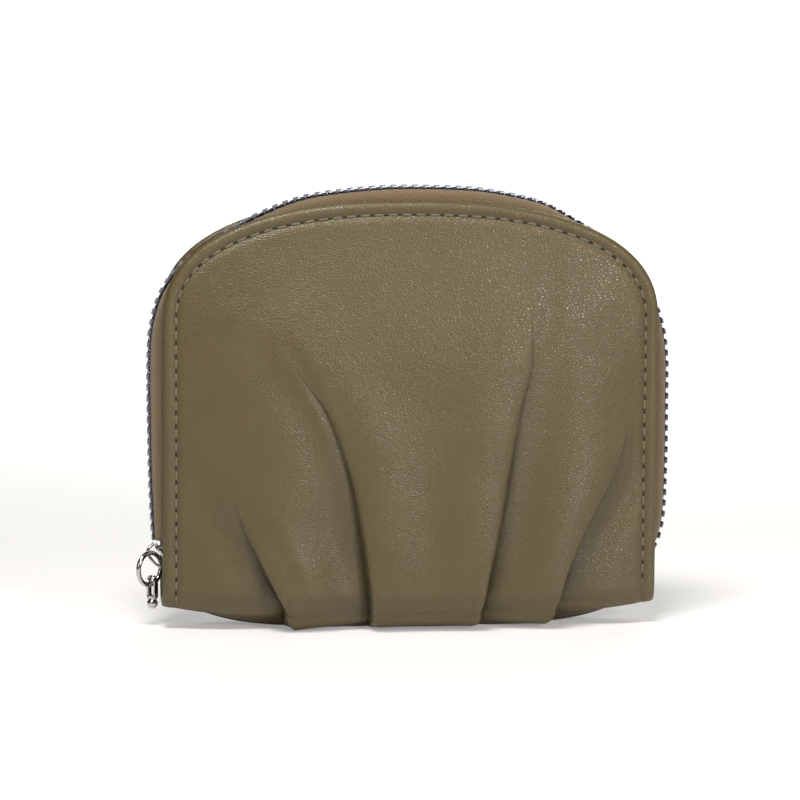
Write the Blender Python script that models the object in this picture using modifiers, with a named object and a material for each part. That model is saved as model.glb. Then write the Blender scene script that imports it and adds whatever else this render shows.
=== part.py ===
"""A compact leather coin pouch with a metal zip round three sides.

Frame: +X to the wearer's right as seen from the front, the front faces -Y, +Z up. The origin is
on the flat base, in the middle of the pouch. All lengths are in metres.
"""

import math

import bmesh
import bpy
import numpy as np
from mathutils import Matrix, Vector

# Leather panels
PANEL_WIDTH = 0.1072
PANEL_HEIGHT = 0.0924
SHOULDER_RISE = 0.0262
SHOULDER_FULLNESS = 2.4
LEATHER = 0.0018
RIM_WIDTH = 0.0029
RIM_ROUND = 0.0011
STITCH_VALLEY = 0.0004
VALLEY_WIDTH = 0.0010
HEM_ROUND = 0.0026
CORNER_CUT = 0.0018
CORNER_CUT_HEIGHT = 0.0070

# Depth of the pouch, measured from the middle plane
RIM_INNER = 0.0050
RIM_CLOSED = 0.0008
SEAM_GAP = 0.0003
SEAM_FORWARD = 0.0030
SEAM_REACH = 0.85
SEAM_FLAT = 0.35
SEAM_POWER = 3
BELLY = 0.0068
BELLY_REACH = 0.0150
BELLY_POWER = 1.5
CLOSING_HEIGHT = 0.0085

# Lower edge
HEM_REST = 0.0017
HEM_SHARE = 0.6
CORNER_LIFT = 0.0032
CORNER_LIFT_POWER = 2.5
BASE_FLAT = 0.35
BASE_POWER = 1.5
TUCK_DEPTH = 0.0023
TUCK_DROP = 0.0026
TUCK_FADE = 0.0110
TUCK_FOLD = 0.0029
TUCK_GROOVE = 0.3

# Zip
CHAIN_WIDTH = 0.0058
CHAIN_THICKNESS = 0.0022
TOOTH_PITCH = 0.00235
TOOTH_SHARE = 0.55
TOOTH_HEAD = 0.0014
CHAIN_PROUD = 0.0031
TAPE_THICKNESS = 0.0007
TAPE_TUCKED_IN = 0.0060
TURNED_LIP = 0.0006
FIT_GAP = 0.0003

# Slider, ring and drop
SLIDER_LENGTH = 0.0058
SLIDER_WIDTH = 0.0060
SLIDER_THICKNESS = 0.0026
SLIDER_TAIL = 0.86
SLIDER_EDGE = 0.0004
SLIDER_LEAN = math.radians(38)
BRIDGE_PLACE = 0.0021
BRIDGE_WIDTH = 0.0009
BRIDGE_LENGTH = 0.0059
BRIDGE_HEIGHT = 0.0027
BRIDGE_METAL = 0.0007
BRIDGE_CORNER = 0.0004
BRIDGE_CROWN = 0.0030
BRIDGE_TAPER = 0.85
RING_OUTER = 0.0080
RING_WIRE = 0.00105
RING_TURN = math.radians(44)
RING_SWING = math.radians(30)
RING_SEAT = 0.0006
DROP_PLACE = math.radians(14)
DROP_LENGTH = 0.0074
DROP_WIDTH = 0.0026
DROP_THICKNESS = 0.0017
DROP_TOP = 0.0007
DROP_BALL = 0.0024
DROP_BALL_SUNK = 0.0007
DROP_SLOT_WIDTH = 0.0018
DROP_SLOT_LENGTH = 0.0040

HALF_WIDTH = PANEL_WIDTH / 2
RIM_BAND = 2 * RIM_WIDTH
SHOULDER_Z = PANEL_HEIGHT - SHOULDER_RISE

# One row a guide line that runs up the panel. The columns give its place across, as a share of the
# half width, at these shares of the height. The four tucks lie along their own guides.
GUIDE_HEIGHTS = (0.0, 0.10, 0.20, 0.35, 0.50, 0.65, 1.0)
GUIDES = {
    "tuck_a": (-0.510, -0.600, -0.677, -0.760, -0.790, -0.760, -0.580),
    "tuck_b": (-0.155, -0.172, -0.195, -0.236, -0.325, -0.485, -0.430),
    "middle": (0.060, 0.060, 0.058, 0.055, 0.045, 0.020, 0.005),
    "tuck_c": (0.275, 0.305, 0.342, 0.382, 0.425, 0.476, 0.430),
    "tuck_d": (0.581, 0.632, 0.706, 0.830, 0.880, 0.840, 0.580),
}

# One row a tuck: side is where its fold drops, -1 left and 1 right; depth is a share of
# TUCK_DEPTH; run is the share of the height where it has faded out; drop is the share of
# TUCK_DROP by which it lowers the edge.
TUCKS = {
    "tuck_a": {"side": -1, "depth": 1.00, "run": 0.26, "drop": 1.00},
    "tuck_b": {"side": -1, "depth": 0.80, "run": 0.66, "drop": 0.20},
    "tuck_c": {"side": 1, "depth": 0.80, "run": 0.62, "drop": 0.20},
    "tuck_d": {"side": 1, "depth": 1.05, "run": 0.48, "drop": 0.70},
}

# One row a height: bulge is the share of BELLY that the panel stands out there.
BELLY_ROWS = {
    "height": (0.0, 0.06, 0.12, 0.28, 0.45, 0.62, 0.80, 1.0),
    "bulge": (0.72, 0.84, 0.90, 1.00, 0.97, 0.82, 0.53, 0.30),
}

# One row a place along the chain, from its left end over the top to its right end: proud is the
# share of CHAIN_PROUD by which the teeth stand out past the leather's edge.
CHAIN_ROWS = {
    "place": (
        *(0.0, 0.015, 0.04, 0.07, 0.12, 0.16, 0.19, 0.24, 0.285, 0.33, 0.39, 0.47),
        *(0.55, 0.61, 0.64, 0.69, 0.75, 0.785, 0.81, 0.89, 0.93, 0.95, 0.965, 0.98, 1.0),
    ),
    "proud": (
        *(0.70, 0.76, 0.86, 0.93, 1.0, 1.02, 0.95, 0.15, -0.30, 0.05, 0.75, 0.98),
        *(0.98, 0.75, 0.25, -0.30, 0.05, 0.80, 0.98, 1.0, 0.96, 0.90, 0.78, 0.50, -0.40),
    ),
}
CHAIN_FOOT_LEFT = 0.0188
CHAIN_FOOT_RIGHT = 0.0130
CHAIN_SMOOTHING = 6
TOOTH_SLOPE = 0.08
TAPE_STEPS = 62

# One row a line along the tape beyond its straight part: across is its place outwards from the
# middle of the teeth, as a share of CHAIN_THICKNESS, and over is its share of the way from the
# leather to the teeth's legs.
TAPE_ROWS = {
    "across": (-1.0, -0.5, -0.15, 0.08),
    "over": (0.0, 0.3, 0.6, 1.0),
}

# Rows of the panels' sheets, as shares of the height, and their columns: beside the rim as shares
# of RIM_WIDTH, and beside each tuck in metres outwards from its fold
PANEL_SHARES = (0.0, 0.04, 0.09, 0.15, 0.21, 0.28, 0.36, 0.44, 0.52, 0.60, 0.68, 0.76, 0.84, 0.90)
RIM_LINES = (0.0, 0.35, 1.0)
TUCK_LINES = (-0.0035, -0.0012, 0.0003, 0.0030)
LEAST_COLUMN = 0.0004
SHOULDER_PULL = 0.8
SHOULDER_REACH = 0.0095
PLAIN_COLUMNS = 10

# Colour, roughness and metallic value of each material
FINISHES = {
    "olive_leather": ((0.135, 0.105, 0.052), 0.48, 0.0),
    "khaki_tape": ((0.235, 0.180, 0.105), 0.85, 0.0),
    "zip_metal": ((0.45, 0.44, 0.43), 0.28, 1.0),
    "bright_metal": ((0.72, 0.70, 0.70), 0.18, 1.0),
}


def clear_scene():
    for obj in list(bpy.data.objects):
        bpy.data.objects.remove(obj)


def collection(name):
    made = bpy.data.collections.new(name)
    bpy.context.scene.collection.children.link(made)
    return made


def material(name):
    colour, roughness, metallic = FINISHES[name]
    made = bpy.data.materials.new(name)
    made.use_nodes = True
    shader = made.node_tree.nodes["Principled BSDF"]
    shader.inputs["Base Color"].default_value = (*colour, 1)
    shader.inputs["Roughness"].default_value = roughness
    shader.inputs["Metallic"].default_value = metallic
    return made


def place(name, mesh, home, finish):
    obj = bpy.data.objects.new(name, mesh)
    obj.data.materials.append(finish)
    home.objects.link(obj)
    return obj


def bmesh_to(name, bm):
    mesh = bpy.data.meshes.new(name)
    bm.to_mesh(mesh)
    bm.free()
    return mesh


def smooth(mesh, degrees):
    mesh.shade_smooth()
    mesh.set_sharp_from_angle(angle=math.radians(degrees))


def ease(share):
    share = min(max(share, 0.0), 1.0)
    return share * share * (3 - 2 * share)


# The outline of a panel, seen from the front


def edge_x(z):
    """Half of the panel's width at height z."""
    if z < CORNER_CUT_HEIGHT:
        return HALF_WIDTH - CORNER_CUT * (1 - z / CORNER_CUT_HEIGHT) ** 2
    rise = min(max(0.0, (z - SHOULDER_Z) / SHOULDER_RISE), 1.0)
    return HALF_WIDTH * (1 - rise**SHOULDER_FULLNESS) ** (1 / SHOULDER_FULLNESS)


def top_z(x):
    """Height of the panel's top edge at x."""
    out = min(abs(x) / HALF_WIDTH, 1.0)
    return SHOULDER_Z + SHOULDER_RISE * (1 - out**SHOULDER_FULLNESS) ** (1 / SHOULDER_FULLNESS)


def rim_line(steps=90):
    """Points round the edge from the lower left, over the top, to the lower right."""
    rise = [(-edge_x(z), z) for z in np.linspace(0.0, SHOULDER_Z, steps, endpoint=False)]
    turns = np.linspace(0.0, math.pi / 2, steps)
    power = 2 / SHOULDER_FULLNESS
    shares = [(math.cos(a) ** power, math.sin(a) ** power) for a in turns]
    left = rise + [(-HALF_WIDTH * x, SHOULDER_Z + SHOULDER_RISE * z) for x, z in shares]
    right = [(-x, z) for x, z in reversed(left[:-1])]
    return np.array(left + right)


RIM = rim_line()


def rim_distance(x, z):
    """How far a point of the panel lies inside the edge."""
    return float(np.min(np.hypot(RIM[:, 0] - x, RIM[:, 1] - z)))


# Depth of a panel


def rim_inner(z):
    """Inner face of the rim: the two panels close on each other towards the lower corners."""
    return RIM_CLOSED + (RIM_INNER - RIM_CLOSED) * ease(z / CLOSING_HEIGHT)


def guide_x(name, share):
    """Place across of a guide at a share of the height, as a smooth curve through its row."""
    row = GUIDES[name]
    last = len(row) - 1
    k = min(max(int(np.searchsorted(GUIDE_HEIGHTS, share, side="right")) - 1, 0), last - 1)
    span = GUIDE_HEIGHTS[k + 1] - GUIDE_HEIGHTS[k]
    t = (share - GUIDE_HEIGHTS[k]) / span

    def slope(i):
        before, after = max(i - 1, 0), min(i + 1, last)
        return (row[after] - row[before]) / (GUIDE_HEIGHTS[after] - GUIDE_HEIGHTS[before])

    curve = (
        (2 * t**3 - 3 * t**2 + 1) * row[k]
        + (t**3 - 2 * t**2 + t) * span * slope(k)
        + (3 * t**2 - 2 * t**3) * row[k + 1]
        + (t**3 - t**2) * span * slope(k + 1)
    )
    return HALF_WIDTH * curve


def tuck_shape(outwards):
    """One tuck across its fold: full on the inner side, a quick drop, a shallow groove outside."""
    if outwards < 0:
        return math.exp(outwards / TUCK_FADE) * ease(-outwards / TUCK_FOLD)
    return -TUCK_GROOVE * math.exp(-outwards / TUCK_FOLD)


def tuck_sum(x, share, column):
    """The tucks' shapes at a point, each weighed by a column of its row and faded by its run."""
    total = 0.0
    for name, row in TUCKS.items():
        outwards = (x - guide_x(name, share)) * row["side"]
        total += row[column] * (1 - ease(share / row["run"])) * tuck_shape(outwards)
    return total


def rim_profile(distance):
    """The turned edge rounds back at the rim, and the stitches pull a valley beside it."""
    back = max(0.0, RIM_ROUND - distance)
    rounded = RIM_ROUND - math.sqrt(RIM_ROUND**2 - back**2)
    valley = STITCH_VALLEY * math.exp(-(((distance - RIM_WIDTH) / VALLEY_WIDTH) ** 2))
    return -rounded - valley


def panel_depth(x, z, share, tucks):
    """Distance of a panel's outer face from the middle plane."""
    distance = rim_distance(x, z)
    bulge = np.interp(share, BELLY_ROWS["height"], BELLY_ROWS["bulge"])
    inside = 1 - math.exp(-((distance / BELLY_REACH) ** BELLY_POWER))
    held = ease(distance / RIM_BAND)
    plain = rim_inner(z) + LEATHER + BELLY * bulge * inside
    return plain + rim_profile(distance) + tucks * TUCK_DEPTH * tuck_sum(x, share, "depth") * held


# The sheet of a panel


def seam_share(x):
    """1 in the middle of the base, falling to 0 where the two panels close on each other."""
    return 1 - min(abs(x) / (SEAM_REACH * HALF_WIDTH), 1.0) ** SEAM_POWER


def seam_depth(x, facing):
    """Depth of the seam under the base, which runs forward of the middle plane."""
    return SEAM_GAP / 2 - facing * SEAM_FORWARD * seam_share(x)


def hem_z(x, tucks):
    """Height of the lower edge: the back's is flat in the middle, the tucks lower the front's."""
    out = abs(x) / HALF_WIDTH
    if not tucks:
        beyond = max(0.0, out - BASE_FLAT) / (1 - BASE_FLAT)
        return (HEM_REST + CORNER_LIFT) * beyond**BASE_POWER
    lift = HEM_REST + CORNER_LIFT * out**CORNER_LIFT_POWER
    return max(0.0, lift - TUCK_DROP * tuck_sum(x, 0.0, "drop"))


def side_x(share):
    """Place across of the outermost column, which runs up the side and round half of the shoulder."""
    foot = CORNER_LIFT + HEM_ROUND
    shoulder = HALF_WIDTH * 0.5 ** (1 / SHOULDER_FULLNESS)
    return edge_x(foot + share * (top_z(shoulder) - foot))


def shoulder_point(x, z, share, head):
    """A sheet's point, drawn inwards near the shoulder, where its first column meets its last row."""
    side, drop = side_x(share) - abs(x), top_z(head) - z
    near, far = min(side, drop), max(side, drop)
    pull = SHOULDER_PULL * near * math.exp(-((far / SHOULDER_REACH) ** 2))
    slope = math.atan2(SHOULDER_RISE, HALF_WIDTH)
    return x - math.copysign(pull * math.sin(slope), x), z - pull * math.cos(slope)


def gathered_columns(share):
    """Places across of the gathered sheet's columns: the rims, lines beside each tuck, plain ones."""
    side = side_x(share)
    start, end = RIM_BAND - side, side - RIM_BAND
    marks = [(start, 1)]
    for name in GUIDES:
        line = guide_x(name, share)
        if name in TUCKS:
            out = TUCKS[name]["side"]
            near = sorted(line + out * q for q in TUCK_LINES)
            marks += [(x, 0) for x in near[:-1]] + [(near[-1], 2)]
        else:
            marks.append((line, 2))
    count = len(marks)
    marks = [
        (min(max(x, start + k * LEAST_COLUMN), end - (count - k) * LEAST_COLUMN), plain)
        for k, (x, plain) in enumerate(marks)
    ]
    places = [-side + share * RIM_WIDTH for share in RIM_LINES]
    for (x, plain), (following, _) in zip(marks, marks[1:] + [(end, 0)]):
        places += [x + (following - x) * k / (plain + 1) for k in range(plain + 1)]
    return places + [end] + [side - share * RIM_WIDTH for share in reversed(RIM_LINES)]


def plain_columns(share):
    """Places across of the back's columns: the rims, and even ones between."""
    side = side_x(share)
    rim = [share * RIM_WIDTH for share in RIM_LINES]
    inner = np.linspace(RIM_BAND - side, side - RIM_BAND, PLAIN_COLUMNS)
    return [r - side for r in rim] + list(inner) + [side - r for r in reversed(rim)]


def panel_rows(tucks, facing):
    """Rows of (x, depth, z) from the seam under the base, round the lower edge, up to the rim."""
    columns, shares = (gathered_columns, PANEL_SHARES) if tucks else (plain_columns, PANEL_SHARES[::2])
    feet, heads = columns(0.0), columns(1.0)
    hems = [hem_z(x, tucks) for x in feet]
    fronts = [panel_depth(x, h + HEM_ROUND, 0.0, tucks) for x, h in zip(feet, hems)]
    seams = [seam_depth(x, facing) for x in feet]
    rounds = [min(HEM_ROUND, HEM_SHARE * (front - seam)) for front, seam in zip(fronts, seams)]
    slant = 1 - math.sqrt(0.5)
    rows = [[], [], [], []]
    for x, hem, front, seam, turn in zip(feet, hems, fronts, seams, rounds):
        seam_z = hem * (1 - seam_share(x))
        rows[0].append((x, seam, seam_z))
        rows[1].append((x, seam + (front - turn - seam) * SEAM_FLAT, seam_z))
        rows[2].append((x, front - turn, hem))
        rows[3].append((x, front - slant * turn, hem + slant * turn))
    near_rim = [RIM_BAND] + [share * RIM_WIDTH for share in reversed(RIM_LINES)]
    for share, down in [(share, None) for share in shares] + [(None, down) for down in near_rim]:
        row = []
        for k, (head, hem, turn) in enumerate(zip(heads, hems, rounds)):
            rise = top_z(head) - hem - turn
            here = 1 - down / rise if share is None else share
            x, z = shoulder_point(columns(here)[k], hem + turn + here * rise, here, head)
            row.append((x, panel_depth(x, z, here, tucks), z))
        rows.append(row)
    return rows


def sheet(rows, facing):
    """An open grid whose points go to the rows' places, with its faces turned outwards."""
    across, up = len(rows[0]), len(rows)
    bm = bmesh.new()
    bmesh.ops.create_grid(bm, x_segments=across - 1, y_segments=up - 1, size=0.5)
    for vert in bm.verts:
        i = round((vert.co.x + 0.5) * (across - 1))
        j = round((vert.co.y + 0.5) * (up - 1))
        x, depth, z = rows[j][i]
        vert.co = (x, facing * depth, z)
    bm.normal_update()
    if sum(face.normal.y * face.calc_area() for face in bm.faces) * facing < 0:
        bmesh.ops.reverse_faces(bm, faces=bm.faces)
    return bm


def panel(name, tucks, facing, home, finish):
    bm = sheet(panel_rows(tucks, facing), facing)
    obj = place(name, bmesh_to(name, bm), home, finish)
    wall = obj.modifiers.new("wall", "SOLIDIFY")
    wall.thickness = LEATHER
    wall.offset = -1
    smooth(obj.data, 50)


# The zip


def chain_line(steps=400):
    """Middle of the chain, from its left end over the top to its right end, as (x, z) points."""
    left = int(np.argmin(np.abs(RIM[: len(RIM) // 2, 1] - CHAIN_FOOT_LEFT)))
    half = len(RIM) // 2
    right = half + int(np.argmin(np.abs(RIM[half:, 1] - CHAIN_FOOT_RIGHT)))
    edge = RIM[left : right + 1]
    run = np.concatenate([[0], np.cumsum(np.hypot(*np.diff(edge, axis=0).T))])
    places = np.linspace(0, 1, steps)
    points = np.stack([np.interp(places * run[-1], run, edge[:, k]) for k in (0, 1)], axis=1)
    along = np.gradient(points, axis=0)
    along /= np.hypot(*along.T)[:, None]
    outwards = np.stack([-along[:, 1], along[:, 0]], axis=1)
    proud = np.interp(places, CHAIN_ROWS["place"], CHAIN_ROWS["proud"])
    spread = np.hanning(2 * CHAIN_SMOOTHING + 1)
    padded = np.concatenate([np.full(CHAIN_SMOOTHING, proud[0]), proud, np.full(CHAIN_SMOOTHING, proud[-1])])
    proud = np.convolve(padded, spread / spread.sum(), mode="valid")
    return points + outwards * (CHAIN_PROUD * proud - CHAIN_THICKNESS / 2)[:, None]


CHAIN = chain_line()
CHAIN_RUN = np.concatenate([[0], np.cumsum(np.hypot(*np.diff(CHAIN, axis=0).T))])


def chain_at(run):
    """Point and outward direction of the chain at a length from its left end."""
    here, ahead = (
        np.array([np.interp(r, CHAIN_RUN, CHAIN[:, k]) for k in (0, 1)])
        for r in (max(run - TOOTH_PITCH / 2, 0), min(run + TOOTH_PITCH / 2, CHAIN_RUN[-1]))
    )
    point = np.array([np.interp(run, CHAIN_RUN, CHAIN[:, k]) for k in (0, 1)])
    along = (ahead - here) / np.hypot(*(ahead - here))
    return point, np.array([-along[1], along[0]])


def loft(sections):
    """A closed body through sections with the same number of corners, its two ends filled."""
    bm = bmesh.new()
    rings = [[bm.verts.new(corner) for corner in section] for section in sections]
    for ring, following in zip(rings, rings[1:]):
        for k in range(len(ring)):
            after = (k + 1) % len(ring)
            bm.faces.new((ring[k], ring[after], following[after], following[k]))
    bm.faces.new(rings[0][::-1])
    bm.faces.new(rings[-1])
    bmesh.ops.recalc_face_normals(bm, faces=bm.faces)
    return bm


def zip_teeth(home, finish):
    """The closed chain: teeth of the front and back rows by turns, hooked together in the middle."""
    half, thick = CHAIN_WIDTH / 2, CHAIN_THICKNESS / 2
    front_row, back_row = (-half, TOOTH_HEAD), (-TOOTH_HEAD, half)
    turn = TOOTH_PITCH * TOOTH_SLOPE
    count = int(CHAIN_RUN[-1] / TOOTH_PITCH)
    sections = []
    for k in range(count):
        start = k * TOOTH_PITCH
        change = start + TOOTH_PITCH * TOOTH_SHARE
        last = start + TOOTH_PITCH - turn
        for run, (low, high) in (
            (start, front_row),
            (change, front_row),
            (change + turn, back_row),
            (last, back_row),
        ):
            (x, z), (out_x, out_z) = chain_at(run)
            corners = ((low, -thick), (high, -thick), (high, thick), (low, thick))
            sections.append([(x + out_x * r, y, z + out_z * r) for y, r in corners])
    place("zip_teeth", bmesh_to("zip_teeth", loft(sections)), home, finish)


def zip_tape(name, facing, home, finish):
    """Woven tape, sewn inside the rim, which curves over to the legs of the teeth."""
    middle = TAPE_THICKNESS / 2
    inside = RIM_INNER - TURNED_LIP - FIT_GAP - middle
    at_teeth = CHAIN_WIDTH / 2 + FIT_GAP + middle
    section = [(-TAPE_TUCKED_IN, inside)]
    for across, over in zip(TAPE_ROWS["across"], TAPE_ROWS["over"]):
        section.append((across * CHAIN_THICKNESS, inside + (at_teeth - inside) * over))
    rows = []
    for across, depth in section:
        row = []
        for run in np.linspace(0, CHAIN_RUN[-1], TAPE_STEPS):
            (x, z), (out_x, out_z) = chain_at(run)
            under_rim = rim_inner(z) - TURNED_LIP - FIT_GAP - middle
            row.append((x + out_x * across, min(depth, under_rim), z + out_z * across))
        rows.append(row)
    obj = place(name, bmesh_to(name, sheet(rows, facing)), home, finish)
    wall = obj.modifiers.new("wall", "SOLIDIFY")
    wall.thickness = TAPE_THICKNESS
    wall.offset = 0
    smooth(obj.data, 50)


# Slider, ring and drop


def as_mesh(obj, home):
    """A curve made a mesh in its own place, with its caps joined on."""
    bpy.context.view_layer.update()
    graph = bpy.context.evaluated_depsgraph_get()
    mesh = bpy.data.meshes.new_from_object(obj.evaluated_get(graph))
    bm = bmesh.new()
    bm.from_mesh(mesh)
    bmesh.ops.remove_doubles(bm, verts=bm.verts, dist=0.000001)
    bm.to_mesh(mesh)
    bm.free()
    made = bpy.data.objects.new(obj.name + "_mesh", mesh)
    made.matrix_world = obj.matrix_world
    home.objects.link(made)
    bpy.data.objects.remove(obj)
    return made


def flat_outline(name, loops, thickness, home):
    """A flat plate with holes: closed outlines in its own XY plane, filled and made thick."""
    curve = bpy.data.curves.new(name, "CURVE")
    curve.dimensions = "2D"
    curve.fill_mode = "BOTH"
    curve.extrude = thickness / 2
    for loop in loops:
        spline = curve.splines.new("POLY")
        spline.points.add(len(loop) - 1)
        for point, (x, y) in zip(spline.points, loop):
            point.co = (x, y, 0, 1)
        spline.use_cyclic_u = True
    obj = bpy.data.objects.new(name, curve)
    home.objects.link(obj)
    return as_mesh(obj, home)


def long_hole(width, length, steps=5):
    """Outline of a slot with round ends, standing along Y about its own middle."""
    straight = (length - width) / 2
    arc = [math.pi * k / steps for k in range(steps + 1)]
    upper = [(width / 2 * math.cos(a), straight + width / 2 * math.sin(a)) for a in arc]
    return upper + [(-x, -y) for x, y in upper]


def join(obj, other):
    """The other shape made part of this one."""
    union = obj.modifiers.new("join", "BOOLEAN")
    union.operation = "UNION"
    union.object = other


def slider_frame():
    """Middle of the slider's top end, its downward direction and the way its bridge faces."""
    (x, z), _ = chain_at(0.0)
    down = Vector((math.sin(SLIDER_LEAN), 0, -math.cos(SLIDER_LEAN)))
    outwards = Vector((-math.cos(SLIDER_LEAN), 0, -math.sin(SLIDER_LEAN)))
    clear = FIT_GAP + SLIDER_THICKNESS / 2 * math.sin(SLIDER_LEAN)
    return Vector((x, 0, z)) + down * clear, down, outwards


def bridge_eye():
    """Where the ring's wire passes through the hole between the slider and its bridge."""
    top, down, outwards = slider_frame()
    lift = SLIDER_THICKNESS / 2 + (BRIDGE_HEIGHT - BRIDGE_METAL) / 2
    return top + down * (BRIDGE_PLACE - RING_SEAT) + outwards * lift


def zip_slider(home, helpers, finish):
    """Cast body on the chain's end, with a bridge on its outer face."""
    top, down, outwards = slider_frame()
    across = Vector((0, 1, 0))
    turn = Matrix((across, -down, outwards)).transposed().to_4x4()
    bm = bmesh.new()
    bmesh.ops.create_cube(bm, size=1)
    bmesh.ops.scale(bm, verts=bm.verts, vec=(SLIDER_WIDTH, SLIDER_LENGTH, SLIDER_THICKNESS))
    for vert in bm.verts:
        if vert.co.y < 0:
            vert.co.x *= SLIDER_TAIL
    body = place("zip_slider", bmesh_to("zip_slider", bm), home, finish)
    body.matrix_world = Matrix.Translation(top + down * SLIDER_LENGTH / 2) @ turn
    edges = body.modifiers.new("edges", "BEVEL")
    edges.width = SLIDER_EDGE
    edges.segments = 2
    height = BRIDGE_HEIGHT + SLIDER_THICKNESS / 2
    outer = [(height - BRIDGE_CORNER, BRIDGE_LENGTH / 2 - BRIDGE_CORNER), (height, BRIDGE_CROWN / 2)]
    outer += [(x, -y) for x, y in reversed(outer)]
    outer = [(0, BRIDGE_LENGTH / 2)] + outer + [(0, -BRIDGE_LENGTH / 2)]
    low, high = SLIDER_THICKNESS / 2, height - BRIDGE_METAL
    reach = BRIDGE_LENGTH / 2 - BRIDGE_METAL
    hole = [(low, reach), (high, reach * BRIDGE_TAPER), (high, -reach * BRIDGE_TAPER), (low, -reach)]
    bridge = flat_outline("bridge", [outer, hole], BRIDGE_WIDTH, helpers)
    stand = Matrix((outwards, -down, -across)).transposed().to_4x4()
    bridge.matrix_world = Matrix.Translation(top + down * BRIDGE_PLACE) @ stand
    bridge.hide_render = True
    bridge.display_type = "WIRE"
    join(body, bridge)


def ring_frame():
    """Middle of the ring, the sideways direction of its plane, and its wire circle's radius."""
    radius = (RING_OUTER - RING_WIRE) / 2
    sideways = Vector((math.cos(RING_TURN), math.sin(RING_TURN), 0))
    drop = sideways * math.sin(RING_SWING) + Vector((0, 0, math.cos(RING_SWING)))
    return bridge_eye() - drop * radius, sideways, radius


def pull_ring(home, finish):
    middle, sideways, radius = ring_frame()
    up = Vector((0, 0, 1))
    turn = Matrix((sideways, up, sideways.cross(up))).transposed().to_4x4()
    bpy.ops.mesh.primitive_torus_add(
        major_radius=radius, minor_radius=RING_WIRE / 2, major_segments=24, minor_segments=8
    )
    ring = bpy.context.object
    for old in list(ring.users_collection):
        old.objects.unlink(ring)
    home.objects.link(ring)
    ring.name = "pull_ring"
    ring.data.materials.append(finish)
    ring.matrix_world = Matrix.Translation(middle) @ turn
    smooth(ring.data, 60)


def pull_drop(home, helpers, finish):
    """A slotted bar that hangs on the ring and ends in a ball."""
    ring_middle, sideways, radius = ring_frame()
    across = sideways.cross(Vector((0, 0, 1)))
    aside = radius * math.sin(DROP_PLACE)
    middle = ring_middle + sideways * aside
    wire_below = math.sqrt(radius**2 - (aside + DROP_THICKNESS / 2) ** 2)
    slot_top = middle.z - wire_below + RING_WIRE / 2 * radius / wire_below + FIT_GAP
    bar_length = DROP_LENGTH - DROP_BALL + DROP_BALL_SUNK
    top = slot_top + DROP_TOP
    bar_middle = top - bar_length / 2
    slot_shift = slot_top - DROP_SLOT_LENGTH / 2 - bar_middle
    slot = [(x, y + slot_shift) for x, y in long_hole(DROP_SLOT_WIDTH, DROP_SLOT_LENGTH)]
    outline = long_hole(DROP_WIDTH, bar_length)
    drop = flat_outline("drop_bar", [outline, slot], DROP_THICKNESS, home)
    drop.name = "pull_drop"
    drop.data.materials.append(finish)
    turn = Matrix((across, Vector((0, 0, 1)), across.cross(Vector((0, 0, 1))))).transposed().to_4x4()
    drop.matrix_world = Matrix.Translation((middle.x, middle.y, bar_middle)) @ turn
    bm = bmesh.new()
    bmesh.ops.create_uvsphere(bm, u_segments=14, v_segments=9, radius=DROP_BALL / 2)
    ball = bpy.data.objects.new("drop_ball", bmesh_to("drop_ball", bm))
    helpers.objects.link(ball)
    ball.location = (middle.x, middle.y, top - DROP_LENGTH + DROP_BALL / 2)
    ball.hide_render = True
    ball.display_type = "WIRE"
    join(drop, ball)


def main():
    clear_scene()
    home = collection("leather_coin_pouch")
    helpers = collection("joined_shapes")
    leather, tape = material("olive_leather"), material("khaki_tape")
    teeth, bright = material("zip_metal"), material("bright_metal")
    panel("front_panel", 1, -1, home, leather)
    panel("back_panel", 0, 1, home, leather)
    zip_tape("zip_tape_front", -1, home, tape)
    zip_tape("zip_tape_back", 1, home, tape)
    zip_teeth(home, teeth)
    zip_slider(home, helpers, bright)
    pull_ring(home, bright)
    pull_drop(home, helpers, bright)


main()
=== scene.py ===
# %% [markdown]
# # A gathered leather coin pouch
# The pouch stands upright with its zip shut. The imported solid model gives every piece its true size
# and place. This lesson gives each piece its fine surface: puffed leather with folded tucks, a turned
# and stitched edge, woven zip tape, separate metal teeth, and a bright slider with ring and drop.

import math

import bpy
import numpy as np
from mathutils import Matrix, Vector


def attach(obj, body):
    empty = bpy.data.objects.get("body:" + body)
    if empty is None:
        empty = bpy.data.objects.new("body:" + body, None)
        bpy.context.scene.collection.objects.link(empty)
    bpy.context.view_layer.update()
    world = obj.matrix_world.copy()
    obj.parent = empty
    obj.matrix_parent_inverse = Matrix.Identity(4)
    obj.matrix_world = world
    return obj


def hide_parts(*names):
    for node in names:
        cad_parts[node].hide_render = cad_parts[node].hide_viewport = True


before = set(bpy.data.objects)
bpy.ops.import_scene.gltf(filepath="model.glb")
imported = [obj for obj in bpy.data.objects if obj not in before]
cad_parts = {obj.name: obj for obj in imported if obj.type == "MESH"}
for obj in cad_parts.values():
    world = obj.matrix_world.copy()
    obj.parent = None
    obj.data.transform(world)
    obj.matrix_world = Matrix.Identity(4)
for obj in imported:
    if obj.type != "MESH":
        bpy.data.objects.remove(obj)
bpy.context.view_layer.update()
MM = 0.001
print("nodes:", sorted(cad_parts))

# %% [markdown]
# ## The camera
# The photograph looks from a little left of the middle and a little above, through a long lens, so
# the pouch hardly narrows with depth. A long lens far away gives the same flat look. The small shift
# puts the pouch where the picture has it.

# %% Camera
TARGET = Vector((0, 0, 0.046))
CAMERA_AWAY = 0.80
CAMERA_TURN = math.radians(-6.5)
CAMERA_RISE = math.radians(7)
CAMERA_ROLL = math.radians(0.4)
CAMERA_LENS = 166
PICTURE = 800

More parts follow.
